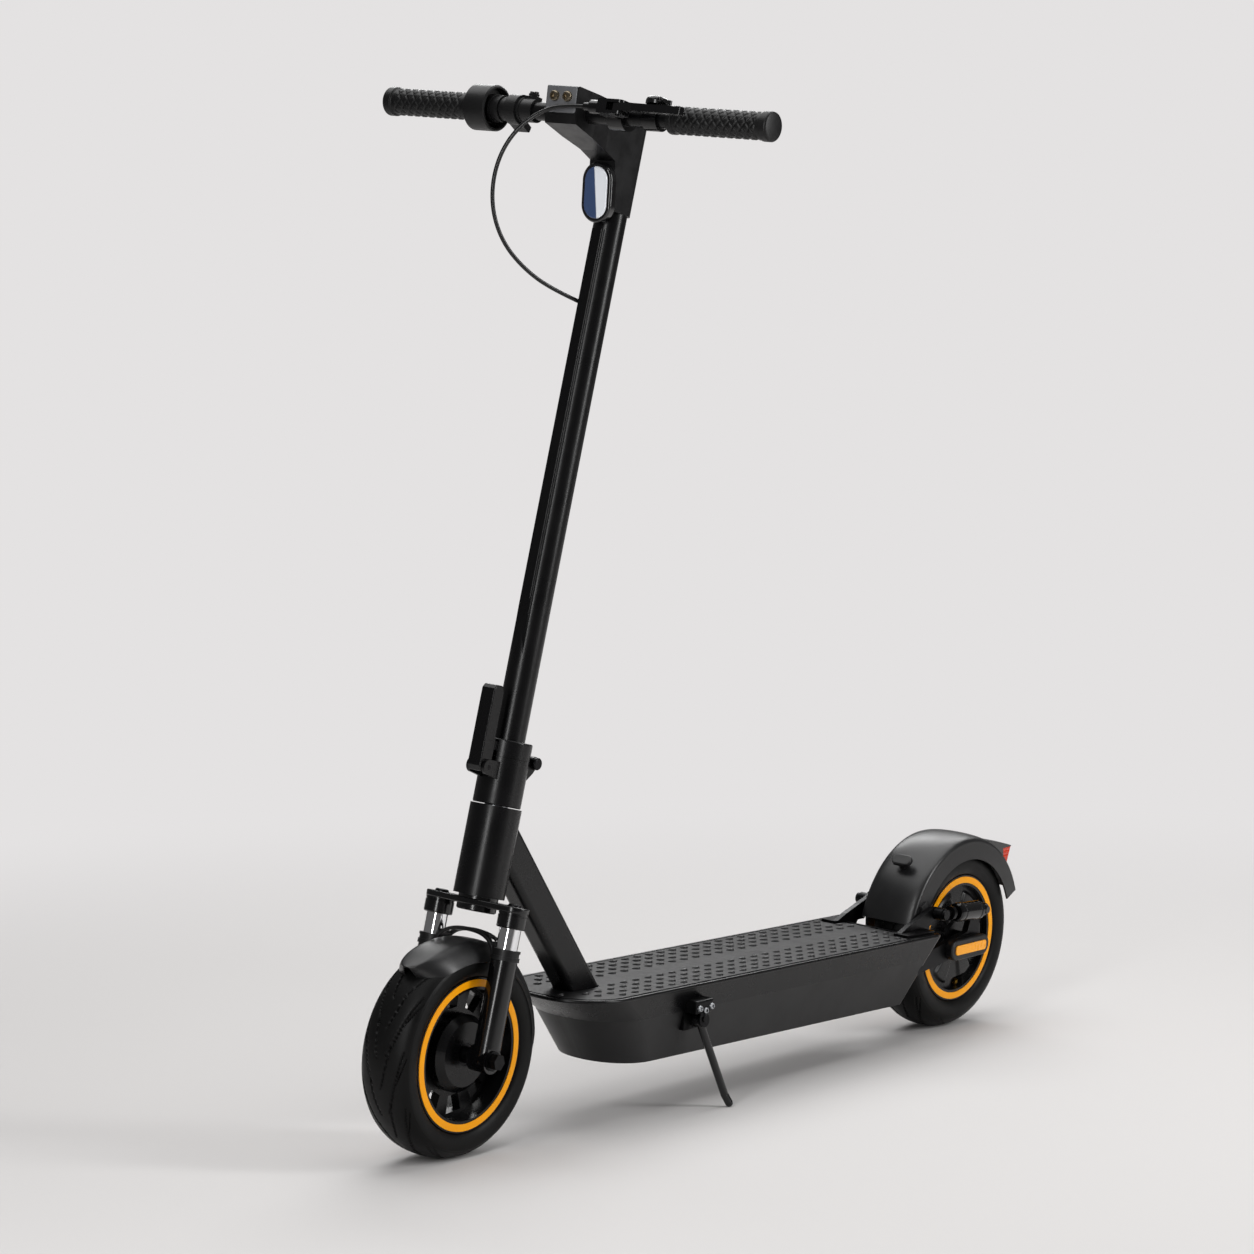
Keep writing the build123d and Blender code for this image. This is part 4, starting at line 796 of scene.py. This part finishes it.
# rear shocks --------------------------------------------------------------------------

SHOCK_FRONT = np.array([96.0, 178.0])
SHOCK_REAR = np.array([-8.0, 172.0])
SHOCK_Y = 64.0
SHOCK_INBOARD_Y = 55.4


def shock_cans():
    """A bored can with two rings cut in it, its inboard side flat, and a turned eye at its rear end."""
    way = SHOCK_REAR - SHOCK_FRONT
    wall = [(4.8, 34), (10.6, 34.4), (12.4, 36), (13, 38.4), (13, 44), (12.1, 44.6), (12.1, 46.6), (13, 47.2),
            (13, 82), (12.1, 82.6), (12.1, 84.6), (13, 85.2), (13, 89.4), (11.4, 92), (7.9, 93), (7.5, 100),
            (4.8, 100)]
    parts = []
    for side in (-1, 1):
        points, faces = turned(wall, 64, True)
        points[:, 0] = np.maximum(points[:, 0], SHOCK_INBOARD_Y - SHOCK_Y)
        front = (SHOCK_FRONT[0], side * SHOCK_Y, SHOCK_FRONT[1])
        parts.append(in_place(inner(BIKE, front, (way[0], 0, way[1]), (0, side, 0)), (points, faces)))
        eye = turned([(7.6, 0), (8.5, 0.9), (8.5, 12), (7.6, 13), (5.5, 13), (5.5, 16), (4.6, 17)], 40)
        rear = (SHOCK_REAR[0], side * SHOCK_INBOARD_Y, SHOCK_REAR[1])
        parts.append(in_place(inner(BIKE, rear, (0, side, 0), (1, 0, 0)), eye))
    made("shock_cans", joined(parts), PAINT, "shock_body", 30, ("shock_bodies",))


shock_cans()


# deck mat -----------------------------------------------------------------------------

MAT_REAR_X = 168.0
BUMP_PITCH = 25.0
BUMP_ROWS = (21.0, 36.0, 51.0, 65.0)
BUMP_SLANT = 20.0 / 15.0
BUMP_LONG = 13.5
BUMP_WIDE = 7.0
BUMP_TALL = 2.7


def mat_bump(x, y, turn):
    """One low dome on a bent oval: five rings, each narrower and higher along a quarter circle."""
    rise = np.linspace(0, 0.93, 5)[:, None] * math.pi / 2
    around = full_turn(12)[None, :]
    a = BUMP_LONG / 2 * np.cos(rise) * np.cos(around)
    b = BUMP_WIDE / 2 * np.cos(rise) * np.sin(around)
    b = b - (a / (BUMP_LONG / 2)) ** 2 * BUMP_WIDE * 0.45
    height = np.broadcast_to(BUMP_TALL * np.sin(rise), a.shape)
    points = np.stack([x + a * math.cos(turn) - b * math.sin(turn),
                       y + a * math.sin(turn) + b * math.cos(turn), MAT_TOP - 0.3 + height], axis=2)
    return closed_surface(points, False, True, True)


def mat_bumps():
    """Crescent bumps in slanted columns along the deck, clear of the mat's edge and the down tube."""
    parts = []
    nose = DECK_NOSE_X - DECK_NOSE_R
    for column in range(-4, 34):
        for row in BUMP_ROWS:
            for side in (-1, 1):
                y = side * row
                x = MAT_REAR_X + 20 + column * BUMP_PITCH + (BUMP_SLANT * y) % BUMP_PITCH
                reach = MAT_HALF - 4
                if x > nose:
                    round_in = math.sqrt(max((DECK_NOSE_R - 14) ** 2 - (x - nose) ** 2, 0))
                    reach = round_in + MAT_HALF - DECK_NOSE_R - 2
                if x < MAT_TONGUE_X + 8:
                    reach = MAT_TONGUE_HALF - 6
                foot = TUBE_FOOT[0] < x < TUBE_FOOT[1] and abs(y) < 29
                if x > MAT_REAR_X + 9 and abs(y) < reach and not foot:
                    parts.append(mat_bump(x, y, 0.15 * side))
    return joined(parts)


made("mat_bumps", in_place(DECK, mat_bumps()), GRIP_RUBBER, "frame", 60)


# brake cable --------------------------------------------------------------------------

def brake_cable():
    """The housing's round section along a smooth line through the route's points."""
    curve = bpy.data.curves.new("brake_cable_housing", "CURVE")
    curve.dimensions = "3D"
    line = curve.splines.new("NURBS")
    route = place(COLUMN, CABLE_ROUTE)
    line.points.add(len(route) - 1)
    line.points.foreach_set("co", np.hstack([route, np.ones((len(route), 1))]).ravel())
    line.order_u = 3
    line.use_endpoint_u = True
    line.resolution_u = 10
    curve.bevel_depth = CABLE_R / 1000
    curve.bevel_resolution = 5
    curve.use_fill_caps = True
    curve.materials.append(HOUSING)
    housing = in_scene("brake_cable_housing", curve)
    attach(housing, "stem")
    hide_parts("brake_cable")


brake_cable()


# floor, light and camera --------------------------------------------------------------

BACKDROP = "#e4e2e2"


def floor():
    """A wide flat disc whose far part fades to the even tone of the backdrop."""
    rings = np.array([0.05, 0.5, 1, 2, 3, 4, 6, 9, 15, 30])[:, None]
    turn = full_turn(96)[None, :]
    points = np.stack([rings * np.cos(turn), rings * np.sin(turn), 0 * rings * turn], axis=2)
    faces = grid_faces(rings.size, turn.size, False, True)
    faces.append(list(range(turn.size)))
    mesh = bpy.data.meshes.new("floor")
    mesh.from_pydata(points.reshape(-1, 3).tolist(), [], faces)
    mesh.update()
    material = bpy.data.materials.new("seamless_paper")
    material.use_nodes = True
    tree = material.node_tree
    shader = tree.nodes["Principled BSDF"]
    shader.inputs["Base Color"].default_value = linear("#d2d0cf")
    shader.inputs["Roughness"].default_value = 0.85
    shader.inputs["Specular IOR Level"].default_value = 0.2
    reach = add(tree, "ShaderNodeVectorMath", {"operation": "LENGTH"},
                {0: add(tree, "ShaderNodeTexCoord").outputs["Object"]})
    far = add(tree, "ShaderNodeMapRange", {"interpolation_type": "SMOOTHSTEP"},
              {"Value": reach.outputs["Value"], "From Min": 0.9, "From Max": 2.8})
    glow = add(tree, "ShaderNodeEmission", None, {"Color": linear(BACKDROP)})
    seen = add(tree, "ShaderNodeLightPath")
    share = add(tree, "ShaderNodeMath", {"operation": "MULTIPLY"},
                {0: far.outputs["Result"], 1: seen.outputs["Is Camera Ray"]})
    both = add(tree, "ShaderNodeMixShader", None, {"Fac": share.outputs["Value"]})
    tree.links.new(shader.outputs["BSDF"], both.inputs[1])
    tree.links.new(glow.outputs["Emission"], both.inputs[2])
    tree.links.new(both.outputs["Shader"], tree.nodes["Material Output"].inputs["Surface"])
    mesh.materials.append(material)
    in_scene("floor", mesh)


def world_light():
    """An even pale backdrop to the camera, and a dimmer one to light the object."""
    world = bpy.data.worlds.new("studio")
    bpy.context.scene.world = world
    world.use_nodes = True
    tree = world.node_tree
    back = tree.nodes["Background"]
    back.inputs["Color"].default_value = linear(BACKDROP)
    dim = add(tree, "ShaderNodeBackground", None, {"Color": linear(BACKDROP), "Strength": 0.16})
    path = add(tree, "ShaderNodeLightPath")
    both = add(tree, "ShaderNodeMixShader", None, {"Fac": path.outputs["Is Camera Ray"]})
    tree.links.new(dim.outputs["Background"], both.inputs[1])
    tree.links.new(back.outputs["Background"], both.inputs[2])
    tree.links.new(both.outputs["Shader"], tree.nodes["World Output"].inputs["Surface"])


def posed(thing, position, axes):
    """Puts a light or camera at a point; the rows of axes are its right, its top and the way behind it."""
    turn = Matrix(np.array(axes).T.tolist())
    thing.matrix_world = Matrix.Translation(Vector(position)) @ turn.to_4x4()


def softbox(name, position, target, width, height, power):
    """A rectangular lamp that faces a target; metres and watts."""
    light = bpy.data.lights.new(name, "AREA")
    light.shape = "RECTANGLE"
    light.size = width
    light.size_y = height
    light.energy = power
    back = unit(np.array(position) - np.array(target))
    side = unit(np.cross((0, 0, 1), back))
    posed(in_scene(name, light), position, [side, np.cross(back, side), back])


CAMERA_AT = (4770.0, 3060.0, 1300.0)
CAMERA_TURN = (-142.73, -7.77, 3.22)
CAMERA_LENS = 119.7


def camera():
    """A long lens 1.3 m up, to the front left; its place, yaw, pitch and roll are in the bike frame."""
    yaw, pitch, roll = (math.radians(v) for v in CAMERA_TURN)
    look = np.array([math.cos(yaw) * math.cos(pitch), math.sin(yaw) * math.cos(pitch), math.sin(pitch)])
    level = unit(np.cross(look, (0, 0, 1)))
    upright = np.cross(level, look)
    right = math.cos(roll) * level + math.sin(roll) * upright
    top = math.cos(roll) * upright - math.sin(roll) * level
    lens = bpy.data.cameras.new("view")
    lens.lens = CAMERA_LENS
    lens.sensor_width = 36.0
    thing = in_scene("view", lens)
    posed(thing, place(BIKE, CAMERA_AT), np.array([right, top, -look]) @ BIKE[1])
    bpy.context.scene.camera = thing


floor()
world_light()
softbox("overhead", (-0.4, -0.4, 3.6), (0, 0, 0.2), 4.0, 3.4, 92)
softbox("back", (-3.2, -2.0, 3.0), (0, 0, 0.3), 3.0, 1.2, 75)
softbox("strip_front", (2.6, 0.6, 1.5), (0.4, 0, 0.6), 0.4, 2.6, 34)
softbox("strip_left", (-0.9, 2.9, 1.6), (0, 0, 0.4), 0.6, 2.4, 60)
camera()
bpy.context.scene.view_settings.view_transform = "Standard"
